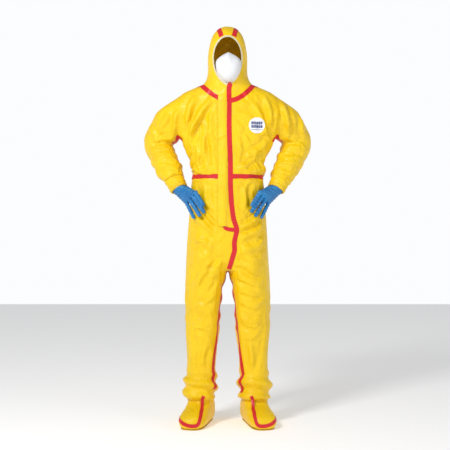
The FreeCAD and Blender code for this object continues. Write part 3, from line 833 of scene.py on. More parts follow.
def plastic_material(name, colour, roughness, grain):
    material = new_material(name, colour, roughness)
    speck = textured(material, Scale=grain, Detail=2.0)
    rough_between(material, speck, roughness - 0.06, roughness + 0.08)
    bumped(material, [(speck, "Fac", 0.0002)])
    return material


YELLOW = film_material("yellow_film", (0.84, 0.53, 0.003), (0.90, 0.60, 0.005), 0.14, 0.8)
# the same yellow film drawn darker: painted shade in the gathers of the cuff casing
SHADED_GATHERS = film_material("yellow_gathers_painted_shade", (0.78, 0.47, 0.006), (0.85, 0.56, 0.010), 0.2, 0.7)
RED = film_material("red_tape", (0.58, 0.014, 0.020), (0.66, 0.022, 0.030), 0.14, 0.25)
BINDING = woven_material("cream_elastic", (0.80, 0.72, 0.50), 260.0)
ELASTIC = woven_material("elastic", (0.80, 0.78, 0.72), 320.0)
ZIP_TAPE = woven_material("zip_tape", (0.78, 0.52, 0.03), 420.0)
ZIP_TEETH = plastic_material("zip_teeth", (0.80, 0.55, 0.05), 0.35, 500.0)
METAL = metal_material("zip_metal", (0.75, 0.72, 0.66), 0.30)
ADHESIVE = plastic_material("adhesive", (0.80, 0.78, 0.70), 0.25, 90.0)
MASK = fibre_material("mask_fibre", (0.76, 0.77, 0.79))
RUBBER = rubber_material("blue_rubber", (0.006, 0.12, 0.34), (0.012, 0.22, 0.52))
SOLE_RUBBER = plastic_material("sole", (0.62, 0.40, 0.02), 0.6, 420.0)


# ---------------------------------------------------------------- seams and bends
SHOULDER_BEND = (SHOULDER, Vector((0.95, 0, 0.3)), -0.040, 0.025)
ELBOW_BEND = (ELBOW, (FOREARM_DIR + UPPER_DIR * 2).normalized(), -0.045, 0.050)
CROTCH = Vector((0, MID_Y, 0.716))
HIP_BEND = (CROTCH, Vector((0.45, 0, -0.89)), 0.0, 0.12)
KNEE_BEND = (KNEE, Z * -1, -0.070, 0.070)
ZIP_X = (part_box("zipper_teeth")[0].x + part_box("zipper_teeth")[1].x) / 2
ZIP_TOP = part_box("zipper_tapes")[1].z
ZIP_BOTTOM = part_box("zipper_tapes")[0].z
FLAP_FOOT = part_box("flap_seam_tapes")[0].z + 0.010
SLOT = 0.008
BOOT_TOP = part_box("boot_left")[1].z
NECK_FRONT = 1.499
NECK_SIDE = 1.572
NECK_NAPE = 1.594
NECK_HALF = 0.118
THROAT = Vector((0, 0.026, 1.600))
THROAT_UP = Vector((0, -math.sin(math.radians(20)), math.cos(math.radians(20))))
HOOD_SEAM = 0.040  # half width of the hood's centre panel
CROWN_START = 1.70  # the centre panel begins here in front
SHIN_TOP = KNEE.z + 0.070
CUFF_END = WRIST + FOREARM_DIR * 0.008
SLEEVE_TOP = 1.58


def neck_z(point):
    """Height of the neck seam: it dips at the front and is nearly level at the nape."""
    out = min(abs(point.x) / NECK_HALF, 1.0)
    if point.y < MID_Y:
        tilt = -0.09 * point.x * (1 - out)
        return NECK_FRONT + (NECK_SIDE - NECK_FRONT) * out**1.9 + tilt
    back = min((point.y - MID_Y) / 0.1, 1.0)
    return NECK_SIDE + (NECK_NAPE - NECK_SIDE) * back


def bend_ends(bend, side):
    """Where a joint's soft bend starts and ends, on one side of the body."""
    centre, direction, before, after = bend
    start = mirror_if(centre + direction * before, side)
    end = mirror_if(centre + direction * after, side)
    return start, end


def past(bend, point, side):
    """How far a point lies past the start of a bend."""
    centre, direction, before, _ = bend
    return (mirror_if(point, side) - centre).dot(direction) - before


def on_arm(point, side):
    """True for the points of one sleeve."""
    out = mirror_if(point, side)
    if out.x < 0.09 or out.z < 1.04:
        return False
    along = min(max((out - ELBOW).dot(FOREARM_DIR) / FOREARM, 0), 1)
    gap = (out - ELBOW - FOREARM_DIR * FOREARM * along).length
    if gap < 0.054 + 0.046 * (1 - along):
        return True
    return 1.27 < out.z < SLEEVE_TOP and past(SHOULDER_BEND, point, side) > 0


def panel_of(point):
    """The name of the panel that a point of the suit belongs to."""
    side_name = "left" if point.x > 0 else "right"
    side = SIDES[side_name]
    if on_arm(point, side):
        if past(ELBOW_BEND, point, side) > 0:
            return "forearm_sleeve_" + side_name
        return "upper_sleeve_" + side_name
    if point.z < 0.90 and past(HIP_BEND, point, side) > 0:
        if point.z > SHIN_TOP:
            return "thigh_leg_" + side_name
        return ("shin_leg_" if point.z > BOOT_TOP else "boot_") + side_name
    if (point - THROAT).dot(THROAT_UP) > 0 and point.z > 1.50:
        if abs(point.x) < HOOD_SEAM and (point.y > MID_Y or point.z > CROWN_START):
            return "hood_centre_panel"
        return "hood_panel_" + side_name
    if point.z > neck_z(point):
        return "neck_collar"
    front = "left" if point.x > ZIP_X else "right"
    if point.y < MID_Y:
        return ("chest_panel_" if point.z > WAIST_Z else "hip_panel_") + front
    return "back_panel" if point.z > WAIST_Z else "seat_panel"


def seam_planes():
    """Every plane that parts two panels: a point, a normal and the faces it may cut."""
    planes = []
    for side in SIDES.values():
        for bend, allowed in (
            (SHOULDER_BEND, lambda c, s=side: 0.12 < c.x * s < 0.27 and 1.22 < c.z < SLEEVE_TOP),
            (ELBOW_BEND, lambda c, s=side: c.x * s > 0.245 and c.z > 1.20),
            (HIP_BEND, lambda c, s=side: c.x * s > -0.015 and 0.6 < c.z < 0.9),
        ):
            start, _ = bend_ends(bend, side)
            planes.append((start, mirror_if(bend[1], side), allowed))
        edge = Vector((HOOD_SEAM * side, 0, 0))
        planes.append((edge, X, lambda c, e=edge: abs(c.x - e.x) < 0.02 and c.z > 1.56))
        edge = Vector((ZIP_X + SLOT * side, 0, 0))
        planes.append((edge, X, on_zip))
        end = mirror_if(CUFF_END, side)
        way = mirror_if(FOREARM_DIR, side)
        planes.append((end, way, lambda c, e=end: (c - e).length < 0.07))
    for z in (SHIN_TOP, BOOT_TOP, WAIST_Z):
        planes.append((Z * z, Z, lambda c, h=z: abs(c.z - h) < 0.02))
    for z in (ZIP_BOTTOM, ZIP_TOP):
        planes.append((Z * z, Z, on_zip))
    planes.append((X * 0, X, lambda c: abs(c.x) < 0.02 and (c.z < 0.76 or c.z > 1.54)))
    planes.append((Y * MID_Y, Y, lambda c: abs(c.y - MID_Y) < 0.02 and c.z > 0.7))
    planes.append((X * ZIP_X, X, on_zip))
    planes.append((THROAT, THROAT_UP, lambda c: 1.54 < c.z < 1.68 and abs(c.x) < 0.15))
    planes.append((Z * CROWN_START, Z, lambda c: abs(c.z - CROWN_START) < 0.02))
    return planes


def on_zip(point):
    return abs(point.x - ZIP_X) < 0.03 and point.y < MID_Y and 0.7 < point.z < 1.56


def cut(form, point, normal, allowed):
    """Cuts the allowed faces along a plane."""
    faces = [f for f in form.faces if allowed(f.calc_center_median())]
    geometry = set(faces)
    for face in faces:
        geometry.update(face.edges)
        geometry.update(face.verts)
    bmesh.ops.bisect_plane(form, geom=list(geometry), plane_co=point, plane_no=normal, dist=1e-5)


# ---------------------------------------------------------------- face opening
FACE_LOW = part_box("face_elastic")[0].z - 0.004
FACE_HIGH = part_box("face_elastic")[1].z - 0.014
FACE_HALF = 0.0665
FACE_WIDEST = 1.698


def face_edge(turn):
    """x and z of the face opening's rim: an egg, its narrow end down."""
    c, s = math.cos(turn), math.sin(turn)
    if s > 0:
        return FACE_HALF * c, FACE_WIDEST + (FACE_HIGH - FACE_WIDEST) * s
    taper = math.copysign(abs(c) ** 1.25, c)
    return FACE_HALF * taper, FACE_WIDEST + (FACE_WIDEST - FACE_LOW) * s


def face_depth(point):
    """How far inside the face opening a point is: 0 or less outside."""
    height = point.z - FACE_WIDEST
    reach = FACE_HIGH - FACE_WIDEST if height > 0 else FACE_WIDEST - FACE_LOW
    s = min(max(height / reach, -1), 1)
    half = FACE_HALF * math.sqrt(1 - s * s) ** (1.25 if height < 0 else 1)
    return half - abs(point.x)


def open_face(form):
    """Takes out the faces inside the egg and draws the edge onto its rim."""
    inside = []
    for face in form.faces:
        c = face.calc_center_median()
        if c.y < 0 and FACE_LOW < c.z < FACE_HIGH and face_depth(c) > 0:
            inside.append(face)
    bmesh.ops.delete(form, geom=inside, context="FACES")
    turns = [2 * math.pi * i / 720 for i in range(720)]
    rim = [Vector(face_edge(turn)) for turn in turns]
    for vert in form.verts:
        if not vert.is_boundary or vert.co.y > 0:
            continue
        if not 1.55 < vert.co.z < 1.85:
            continue
        here = Vector((vert.co.x, vert.co.z))
        best = min(rim, key=lambda p: (p - here).length)
        vert.co.x, vert.co.z = best


def cut_apart(suit):
    """The draped form, cut along every seam, with its openings made."""
    form = bmesh.new()
    form.from_mesh(suit.data)
    for point, normal, allowed in seam_planes():
        cut(form, point, normal, allowed)
    open_face(form)
    gone = []
    for face in form.faces:
        c = face.calc_center_median()
        in_slot = abs(c.x - ZIP_X) < SLOT and c.y < 0 and ZIP_BOTTOM < c.z < ZIP_TOP
        side = 1 if c.x > 0 else -1
        out = mirror_if(c, side)
        in_cuff = on_arm(c, side) and (out - CUFF_END).dot(FOREARM_DIR) > 0
        if in_slot or in_cuff:
            gone.append(face)
    bmesh.ops.delete(form, geom=gone, context="FACES")
    form.normal_update()
    panels = {}
    for face in form.faces:
        name = panel_of(face.calc_center_median())
        panels.setdefault(name, []).append(face)
    even_neck(form, panels["neck_collar"])
    form.normal_update()
    return form, panels


def even_neck(form, collar):
    """Slides the collar's lower edge along the fabric onto the neck seam."""
    members = set(collar)
    for vert in form.verts:
        beside = [face in members for face in vert.link_faces]
        if all(beside) or not any(beside) or abs(vert.co.z - neck_z(vert.co)) > 0.012:
            continue
        step = 0.001
        slope_x = (neck_z(vert.co + X * step) - neck_z(vert.co - X * step)) / (2 * step)
        slope_y = (neck_z(vert.co + Y * step) - neck_z(vert.co - Y * step)) / (2 * step)
        rise = Vector((-slope_x, -slope_y, 1))
        rise -= vert.normal * rise.dot(vert.normal)
        vert.co -= rise * ((vert.co.z - neck_z(vert.co)) / max(rise.length_squared, 0.3))


def shell(name, faces, thickness, material):
    """A thin closed shell from some faces, shaded as part of the whole suit."""
    index, points, normals = {}, [], []
    for face in faces:
        for vert in face.verts:
            if vert not in index:
                index[vert] = len(points)
                points.append(vert.co.copy())
                normals.append(vert.normal.copy())
    count = len(points)
    inner = [p - n * thickness for p, n in zip(points, normals)]
    members = set(faces)
    polygons = []
    for face in faces:
        loop = [index[v] for v in face.verts]
        polygons.append(loop)
        polygons.append([i + count for i in reversed(loop)])
        for corner in face.loops:
            sharing = [f for f in corner.edge.link_faces if f in members]
            if len(sharing) == 1:
                a, b = index[corner.vert], index[corner.link_loop_next.vert]
                polygons.append([b, a, a + count, b + count])
    piece = new_mesh(name, points + inner, polygons)
    set_look(piece, material)
    if len(piece.data.vertices) == 2 * count:
        piece.data.normals_split_custom_set_from_vertices(
            [tuple(n) for n in normals] + [tuple(-n) for n in normals]
        )
    return piece


def set_look(piece, material):
    piece.data.materials.clear()
    piece.data.materials.append(material)
    for polygon in piece.data.polygons:
        polygon.use_smooth = True


LIMB_BLENDS = {  # panel: its bend and the bodies before and after it
    "upper_sleeve": (SHOULDER_BEND, "torso", "upper_arm"),
    "forearm_sleeve": (ELBOW_BEND, "upper_arm", "forearm"),
    "thigh_leg": (HIP_BEND, "torso", "thigh"),
    "shin_leg": (KNEE_BEND, "thigh", "shin"),
}


def follow(piece, panel):
    """Hangs a piece on the body its panel rides on: the hood, the torso or a shin; sleeve, leg and
    collar pieces only have their placing baked into their points.
    """
    kind, _, side_name = panel.rpartition("_")
    if kind in LIMB_BLENDS:
        bend, before, after = LIMB_BLENDS[kind]
        before = before if before == "torso" else before + "_" + side_name
        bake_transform(piece)
    elif kind == "boot":
        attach(piece, "shin_" + side_name)
    elif panel == "neck_collar":
        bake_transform(piece)
    else:
        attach(piece, "hood" if kind.startswith("hood") else "torso")


def fasten(piece, panel, slot_name, *nodes):
    """A piece is placed as follow() places it for its panel and may stand for CAD nodes, which are
    hidden; slot_name, its finish, is not used.
    """
    follow(piece, panel)
    if nodes:
        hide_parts(*nodes)


STANDS_FOR = {
    "upper_sleeve": ("upper_sleeve", "shoulder_fold"),
    "forearm_sleeve": ("forearm_sleeve", "elbow_fold"),
    "thigh_leg": ("thigh_leg", "groin_fold"),
    "shin_leg": ("shin_leg", "knee_fold"),
    "boot": ("boot",),
}


def make_panels(suit):
    form, panels = cut_apart(suit)
    for name in sorted(panels):
        piece = shell(name + "_film", panels[name], FILM, YELLOW)
        kind, _, side_name = name.rpartition("_")
        nodes = [base + "_" + side_name for base in STANDS_FOR.get(kind, ())]
        fasten(piece, name, "yellow_fabric", *(nodes or [name]))
    form.free()


# ---------------------------------------------------------------- tapes laid on the surface
def surface_of(suit):
    points = [v.co.copy() for v in suit.data.vertices]
    faces = [tuple(p.vertices) for p in suit.data.polygons]
    return BVHTree.FromPolygons(points, faces)


def curve_through(points, spacing):
    """Evenly spaced points on a smooth curve through some guides."""
    guides = [points[0]] + list(points) + [points[-1]]
    line = []
    for i in range(len(points) - 1):
        a, b, c, d = guides[i : i + 4]
        steps = max(2, round((c - b).length / spacing))
        for k in range(steps):
            t = k / steps
            cubic = (a * 2 - b * 5 + c * 4 - d) * t * t + (b * 3 - a - c * 3 + d) * t**3
            line.append((b * 2 + (c - a) * t + cubic) * 0.5)
    line.append(points[-1].copy())
    return line


def front_hit(surface, x, z):
    """Place and normal of the suit's front surface at a place in the front view."""
    return surface.ray_cast(Vector((x, -1, z)), Y)


def from_front(surface, x, z):
    """The point of the suit's front surface, or of the zip's line where it has none."""
    return front_hit(surface, x, z)[0] or Vector((x, front_y(z), z))


def lay_ribbon(name, surface, guides, width, material, rise=TAPE_RISE, ends=(1, 1), step_up=0):
    """A flat strip that follows the surface along some guide points.

    step_up is how much further its second edge stands off than its first."""
    line = [surface.find_nearest(p)[0] for p in curve_through(guides, 0.005)]
    for _ in range(2):
        smoothed = [p.copy() for p in line]
        for i in range(1, len(line) - 1):
            smoothed[i] = (line[i - 1] + line[i] * 2 + line[i + 1]) / 4
        line = smoothed
    across_count = max(3, round(width / 0.0045))
    top, bottom = [], []
    rows = len(line)
    for i, point in enumerate(line):
        _, normal, _, _ = surface.find_nearest(point)
        ahead = (line[min(i + 1, rows - 1)] - line[max(i - 1, 0)]).normalized()
        side = ahead.cross(normal).normalized()
        share = 1.0
        if i < 3:
            share = ends[0] + (1 - ends[0]) * i / 3
        if i > rows - 4:
            share = ends[1] + (1 - ends[1]) * (rows - 1 - i) / 3
        for k in range(across_count + 1):
            offset = (k / across_count - 0.5) * width * share
            place, lift, _, _ = surface.find_nearest(point + side * offset)
            stand = rise + step_up * smooth(0.30, 0.75, k / across_count)
            top.append(place + lift * (stand + TAPE_THICK))
            bottom.append(place + lift * stand)
    return strip(name, top, bottom, rows, across_count + 1, material)


def strip(name, top, bottom, rows, columns, material):
    """A closed slab between two grids of points."""
    count = rows * columns
    faces = grid_faces(rows, columns, False)
    under = other_side(faces, count)
    edge = [r * columns for r in range(rows)]
    edge += [(rows - 1) * columns + c for c in range(1, columns)]
    edge += [r * columns + columns - 1 for r in range(rows - 2, -1, -1)]
    edge += [c for c in range(columns - 2, 0, -1)]
    rim = []
    for i, a in enumerate(edge):
        b = edge[(i + 1) % len(edge)]
        rim.append((a, b, b + count, a + count))
    piece = closed_mesh(name, top + bottom, faces + under + rim)
    set_look(piece, material)
    sharpen(piece)
    return piece


def sharpen(piece, degrees=50):
    """Marks the edges that turn sharply, so that flat faces stay flat."""
    form = bmesh.new()
    form.from_mesh(piece.data)
    for edge in form.edges:
        if len(edge.link_faces) == 2:
            edge.smooth = edge.calc_face_angle() < math.radians(degrees)
    form.to_mesh(piece.data)
    form.free()


def front_tape(surface):
    """The tape down the whole front, from the chin to the crotch, in three lengths."""
    x = FLAP_HINGE.x

    def lay(name, places, width=TAPE, rise=0.0010, ends=(1, 1), step_up=0):
        guides = [from_front(surface, across, z) for across, z in places]
        return lay_ribbon(name, surface, guides, width, RED, rise, ends, step_up)

    chin = [(x + 0.009, 1.584), (x - 0.001, 1.556), (x, NECK_FRONT)]
    piece = lay("chin_tape", chin, ends=(0.2, 1), step_up=0.0022)
    fasten(piece, "neck_collar", "red_tape")
    middle = [
        (x, NECK_FRONT),
        (x, 1.36),
        (x + 0.005, 1.22),
        (x + 0.006, 1.10),
        (x + 0.013, 1.00),
        (x + 0.022, 0.945),
    ]
    piece = lay("flap_tape", middle, step_up=0.0026)
    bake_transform(piece)
    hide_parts("flap_seam_tapes")
    low = [
        (x + 0.022, 0.945),
        (x + 0.034, 0.912),
        (x + 0.031, 0.885),
        (x + 0.023, 0.850),
        (x + 0.024, 0.812),
        (x + 0.015, 0.780),
        (x + 0.003, 0.738),
        (x - 0.002, 0.725),
    ]
    fasten(lay("crotch_tape", low), "hip_panel_left", "red_tape", "crotch_seam_tape")
    foot = [(-0.022, 0.918), (0.006, 0.908), (x + 0.034, 0.905)]
    piece = lay("flap_end_tape", foot, width=TAPE * 0.8, rise=0.0018, ends=(0.1, 1))
    fasten(piece, "hip_panel_left", "red_tape")


def around(surface, z_of, start, end, steps=64):
    """Guides round the trunk, by angle, at a height that may depend on the place."""
    line = []
    for i in range(steps + 1):
        turn = start + (end - start) * i / steps
        out = Vector((math.cos(turn), math.sin(turn), 0))
        place = Vector((0, MID_Y, 1)) + out * 0.11
        for _ in range(6):
            origin = Vector((0, MID_Y, z_of(place)))
            hit = surface.ray_cast(origin, out)[0]
            place = place.lerp(hit if hit else origin + out * 0.11, 0.7)
        line.append(place)
    return line


def turn_at(x):
    """The angle round the trunk, from the wearer's left, where the front has that x."""
    return math.atan2(-0.11, x)


def ring_tapes(surface):
    """The tapes of the waist and the neck, open behind the flap, and the back's elastic."""
    gap_left = turn_at(FLAP_HINGE.x - 0.004)
    gap_right = turn_at(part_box("storm_flap")[0].x + 0.012) + 2 * math.pi
    guides = around(surface, lambda p: WAIST_Z, gap_left, gap_right, 120)
    piece = lay_ribbon("waist_tape", surface, guides, TAPE, RED)
    fasten(piece, "chest_panel_left", "red_tape", "waist_seam_tape")
    guides = around(surface, neck_z, gap_left, gap_right, 96)
    piece = lay_ribbon("neck_tape", surface, guides, TAPE, RED)
    fasten(piece, "neck_collar", "red_tape", "neck_seam_tape")
    back = around(surface, lambda p: WAIST_Z, 0.15, math.pi - 0.15, 60)
    piece = lay_ribbon("waist_elastic_band", surface, back, 0.036, ELASTIC, -0.0035)
    fasten(piece, "back_panel", "elastic", "waist_elastic")


# ---------------------------------------------------------------- storm flap and zip
def strip_between(name, places, rows, material, thickness):
    """A strip from a function of (share down, share across) to a point."""
    columns = 9
    top, bottom = [], []
    for r in range(rows):
        for c in range(columns):
            point = places(r / (rows - 1), c / (columns - 1))
            top.append(point)
            bottom.append(point + Y * thickness)
    return strip(name, top, bottom, rows, columns, material)


def flap_point(down, across):
    """The storm flap: sewn under the tape, lifted over the zip, its edge wavy."""
    z = ZIP_TOP + 0.004 + (FLAP_FOOT - 0.004 - ZIP_TOP) * down
    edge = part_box("storm_flap")[0].x + 0.0012 * noise.noise(Vector((0, 7, z * 22)))
    x = FLAP_HINGE.x + (edge - FLAP_HINGE.x) * across
    lift = 0.0010 + 0.0082 * smooth(0.17, 0.31, across) * (1 - 0.6 * smooth(0.60, 0.95, across))
    lift += 0.0030 * smooth(0.15, 0.30, across) * smooth(1.41, 1.45, z)
    lift += 0.0012 * noise.noise(Vector((across * 1.5, 3, z * 26))) * smooth(0.3, 0.9, across)
    return Vector((x, front_y(z) + 0.0022 - lift, z))


def chin_point(surface, down, across):
    """The flap's end over the chin, from its point down to the neck seam."""
    z = 1.586 + (ZIP_TOP + 0.004 - 1.586) * down
    right = FLAP_HINGE.x + 0.010 * (1 - smooth(0, 0.5, down))
    reach = (FLAP_HINGE.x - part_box("storm_flap")[0].x) * (0.30 + 0.70 * smooth(0, 0.75, down))
    x = right - reach * across
    seat = from_front(surface, x, z)
    lift = 0.0012 + 0.0070 * smooth(0.2, 0.9, down) * smooth(0.17, 0.40, across)
    lift *= 1 - 0.6 * smooth(0.60, 0.95, across)
    return Vector((x, seat.y - lift, z))


def flap_and_zip(surface):
    piece = strip_between("storm_flap_film", flap_point, 90, YELLOW, 0.0009)
    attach(piece, "flap")
    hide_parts("storm_flap")
    piece = strip_between("chin_flap_film", lambda d, a: chin_point(surface, d, a), 24, YELLOW, 0.0009)
    fasten(piece, "neck_collar", "yellow_fabric")
    piece = strip_between(
        "flap_adhesive_tape",
        lambda d, a: flap_point(0.01 + 0.98 * d, 0.76 + 0.18 * a) + Y * 0.0010,
        90,
        ADHESIVE,
        0.0003,
    )
    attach(piece, "flap")
    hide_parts("flap_adhesive_strip")
    low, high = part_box("zipper_tapes")
    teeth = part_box("zipper_teeth")
    for name, x0, x1 in (("right", low.x, teeth[0].x), ("left", teeth[1].x, high.x)):
        piece = strip_between(
            "zip_tape_" + name,
            lambda d, a, x0=x0, x1=x1: zip_point(x0 + (x1 - x0) * a, d),
            90,
            ZIP_TAPE,
            0.0008,
        )
        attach(piece, "torso")
        if name == "right":
            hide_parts("zipper_tapes")
    for node, material in (
        ("zipper_teeth", ZIP_TEETH),
        ("zipper_slider", METAL),
        ("zipper_pull", METAL),
        ("zipper_bottom_stop", METAL),
    ):
        frame["nodes"][node].data.materials[0] = material


def zip_point(x, down):
    z = ZIP_TOP + (ZIP_BOTTOM - ZIP_TOP) * down
    return Vector((x, front_y(z) + 0.0010, z))


# ---------------------------------------------------------------- hood edge and mask
def face_binding(surface):
    """The puckered elastic that edges the face opening."""
    count, around_count = 180, 10
    points = []
    for i in range(count):
        turn = 2 * math.pi * i / count
        x, z = face_edge(turn)
        place, normal, _, _ = front_hit(surface, x, z)
        ahead = Vector(face_edge(turn + 0.02)) - Vector(face_edge(turn - 0.02))
        tangent = Vector((ahead.x, 0, ahead.y)).normalized()
        outward = tangent.cross(normal).normalized()
        if outward.dot(Vector((x, 0, z - FACE_WIDEST))) < 0:
            outward = outward * -1
        pucker = 1 + 0.10 * math.sin(turn * 46) + 0.05 * math.sin(turn * 31 + 1)
        for k in range(around_count):
            t = 2 * math.pi * k / around_count
            flat = outward * (0.0048 * math.cos(t) * pucker)
            thick = normal * (0.0021 * math.sin(t) * pucker + 0.0004)
            points.append(place + flat + thick)
    faces = []
    for i in range(count):
        j = (i + 1) % count
        for k in range(around_count):
            m = (k + 1) % around_count
            a, b = i * around_count, j * around_count
            faces.append((a + k, a + m, b + m, b + k))
    piece = closed_mesh("face_elastic_binding", points, faces)
    set_look(piece, BINDING)
    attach(piece, "hood")
    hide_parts("face_elastic")


def from_node(name, node, voxel, rounds):
    """A smooth copy of a CAD node's form, ready for its own detail."""
    source = frame["nodes"][node]
    piece = bpy.data.objects.new(name, source.data.copy())
    bpy.context.scene.collection.objects.link(piece)
    modifier = piece.modifiers.new("voxels", "REMESH")
    modifier.mode = "VOXEL"
    modifier.voxel_size = voxel
    apply_all(piece)
    relax(piece, rounds)
    return piece


MASK_OUTLINE = [  # shares of the half width and half height, from the nose down one side
    (0.0, 1.0),
    (0.36, 0.86),
    (0.76, 0.64),
    (0.97, 0.42),
    (1.0, 0.14),
    (0.92, -0.26),
    (0.68, -0.66),
    (0.34, -0.92),
    (0.0, -1.0),
]
MASK_DROP = 0.014  # it hangs lower on the nose than its CAD stand-in
MASK_ASIDE = 0.004  # and a little towards the wearer's left
MASK_THICK = 0.0016


def make_mask():
    """The moulded mask: a smooth deep cup with a pressed rim and a nose ridge."""
    low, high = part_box("mask_cup")
    half_width, half_height = 0.95 * (high.x - low.x) / 2, (high.z - low.z) / 2
    centre = (low + high) / 2 - Z * MASK_DROP + X * MASK_ASIDE
    half = [Vector((a * half_width, 0, b * half_height)) for a, b in MASK_OUTLINE]
    right = curve_through(half, 0.004)
    outline = right + [Vector((-p.x, 0, p.z)) for p in reversed(right[1:-1])]
    columns = len(outline)
    depth = high.y - low.y
    rows = [(1.0, 0.0), (0.975, 0.0012), (0.955, 0.0030)]
    for i in range(1, 15):
        turn = math.pi / 2 * i / 15
        rows.append((0.955 * math.cos(turn) ** 0.9, 0.0030 + (depth - 0.006) * math.sin(turn)))
    outer, inner = [], []
    for scale, ahead in rows:
        for point in outline:
            nose = math.exp(-((point.x * scale / 0.016) ** 2))
            nose *= smooth(-0.2, 0.9, point.z / half_height)
            rise = 0.006 * nose * scale * (1 - scale) * 4
            place = centre + point * scale
            place.y = high.y - ahead - rise
            outer.append(place)
            inner.append(place + Y * MASK_THICK)
    count = len(outer)
    faces = grid_faces(len(rows), columns, True)
    cap = [tuple(range(count - columns, count))]
    faces += other_side(faces, count) + cap + other_side(cap, count) + side_wall(0, columns, count)
    piece = closed_mesh("dust_mask_cup", outer + inner, faces)
    piece.modifiers.new("soft", "SUBSURF").levels = 1
    apply_all(piece)
    set_look(piece, MASK)
    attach(piece, "dust_mask")
    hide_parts("mask_cup")
    straps = from_node("mask_strap_pair", "mask_straps", 0.0012, 2)
    straps.location.z = -MASK_DROP
    set_look(straps, ELASTIC)
    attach(straps, "dust_mask")
    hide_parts("mask_straps")


# ---------------------------------------------------------------- gloves and cuffs
def make_glove(side_name):
    side = SIDES[side_name]
    piece = from_node("glove_film_" + side_name, "glove_" + side_name, 0.0016, 6)
    points, normals = read_points(piece), read_normals(piece)
    wrist = mirror_if(WRIST, side)
    axis = mirror_if(FOREARM_DIR, side)
    along = (points - np.array(wrist)) @ np.array(axis)
    palm = smooth(0.0, 0.03, along)
    rise = 0.0009 * palm * wave(points, mirror_if(Vector((0.5, 0.2, 0.8)), side), 0.016, 0, 0.8, 3)
    rise += 0.0012 * (1 - palm) * wave(points, axis, 0.011, 0.2, 0.4, 4)
    broad = np.array([noise.noise(Vector(p) * 55.0) for p in points])
    rise += 0.0008 * broad
    points += normals * rise[:, None]
    # the wrist is drawn in where it sits inside the sleeve
    inside = 0.10 * (1 - smooth(-0.012, 0.014, along))[:, None]
    centre_line = np.array(wrist) + along[:, None] * np.array(axis)
    write_points(piece, points + (centre_line - points) * inside)
    set_look(piece, RUBBER)
    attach(piece, "hand_" + side_name)
    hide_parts("glove_" + side_name)


def cuff_band(side_name, surface):
    """The gathered casing of the cuff elastic."""
    side = SIDES[side_name]
    axis = mirror_if(FOREARM_DIR, side)
    end = mirror_if(CUFF_END, side)
    across = axis.cross(Z).normalized()
    up = across.cross(axis).normalized()
    rows, columns = 9, 96
    top, bottom = [], []
    for r in range(rows):
        along = r / (rows - 1)
        centre = end - axis * (0.017 * (1 - along) - 0.002)
        for c in range(columns):
            turn = 2 * math.pi * c / columns
            out = across * math.cos(turn) + up * math.sin(turn)
            hit = surface.ray_cast(centre, out)[0]
            radius = (hit - centre).length if hit else 0.041
            radius = min(radius, 0.052)
            fold = 0.0011 * math.sin(turn * 27 + 1.5 * math.sin(turn * 4))
            crown = 0.0016 * math.sin(math.pi * along) + 0.0009
            top.append(centre + out * (radius + crown + fold))
            bottom.append(centre + out * (radius - 0.0012))
    count = rows * columns
    faces = grid_faces(rows, columns, True)
    faces += other_side(faces, count)
    for base in (0, (rows - 1) * columns):
        faces += side_wall(base, columns, count)
    piece = closed_mesh("cuff_band_" + side_name, top + bottom, faces)
    # the casing takes the darker yellow: painted shade of its gathers
    set_look(piece, SHADED_GATHERS)
    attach(piece, "forearm_" + side_name)
    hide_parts("cuff_elastic_" + side_name)


def make_sole(surface, side_name):
    """The flat sole, cut to the outline of the boot above it."""
    low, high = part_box("boot_sole_" + side_name)
    centre = (low + high) / 2
    outline = []
    for step in range(96):
        turn = 2 * math.pi * step / 96
        out = Vector((math.cos(turn), math.sin(turn), 0))
        start = Vector((centre.x, centre.y, SOLE + 0.007))
        hit = surface.ray_cast(start, out)[0]
        outline.append(out * (hit - start).length)
    points = []
    for share, z in ((0.97, 0.0004), (0.99, 0.0016), (0.99, SOLE - 0.0002)):
        points += [Vector((centre.x, centre.y, z)) + edge * share for edge in outline]
    faces = grid_faces(3, 96, True) + [tuple(range(96)), tuple(range(192, 288))]
    piece = closed_mesh("boot_sole_form_" + side_name, points, faces)
    set_look(piece, SOLE_RUBBER)
    fasten(piece, "boot_" + side_name, "sole", "boot_sole_" + side_name)


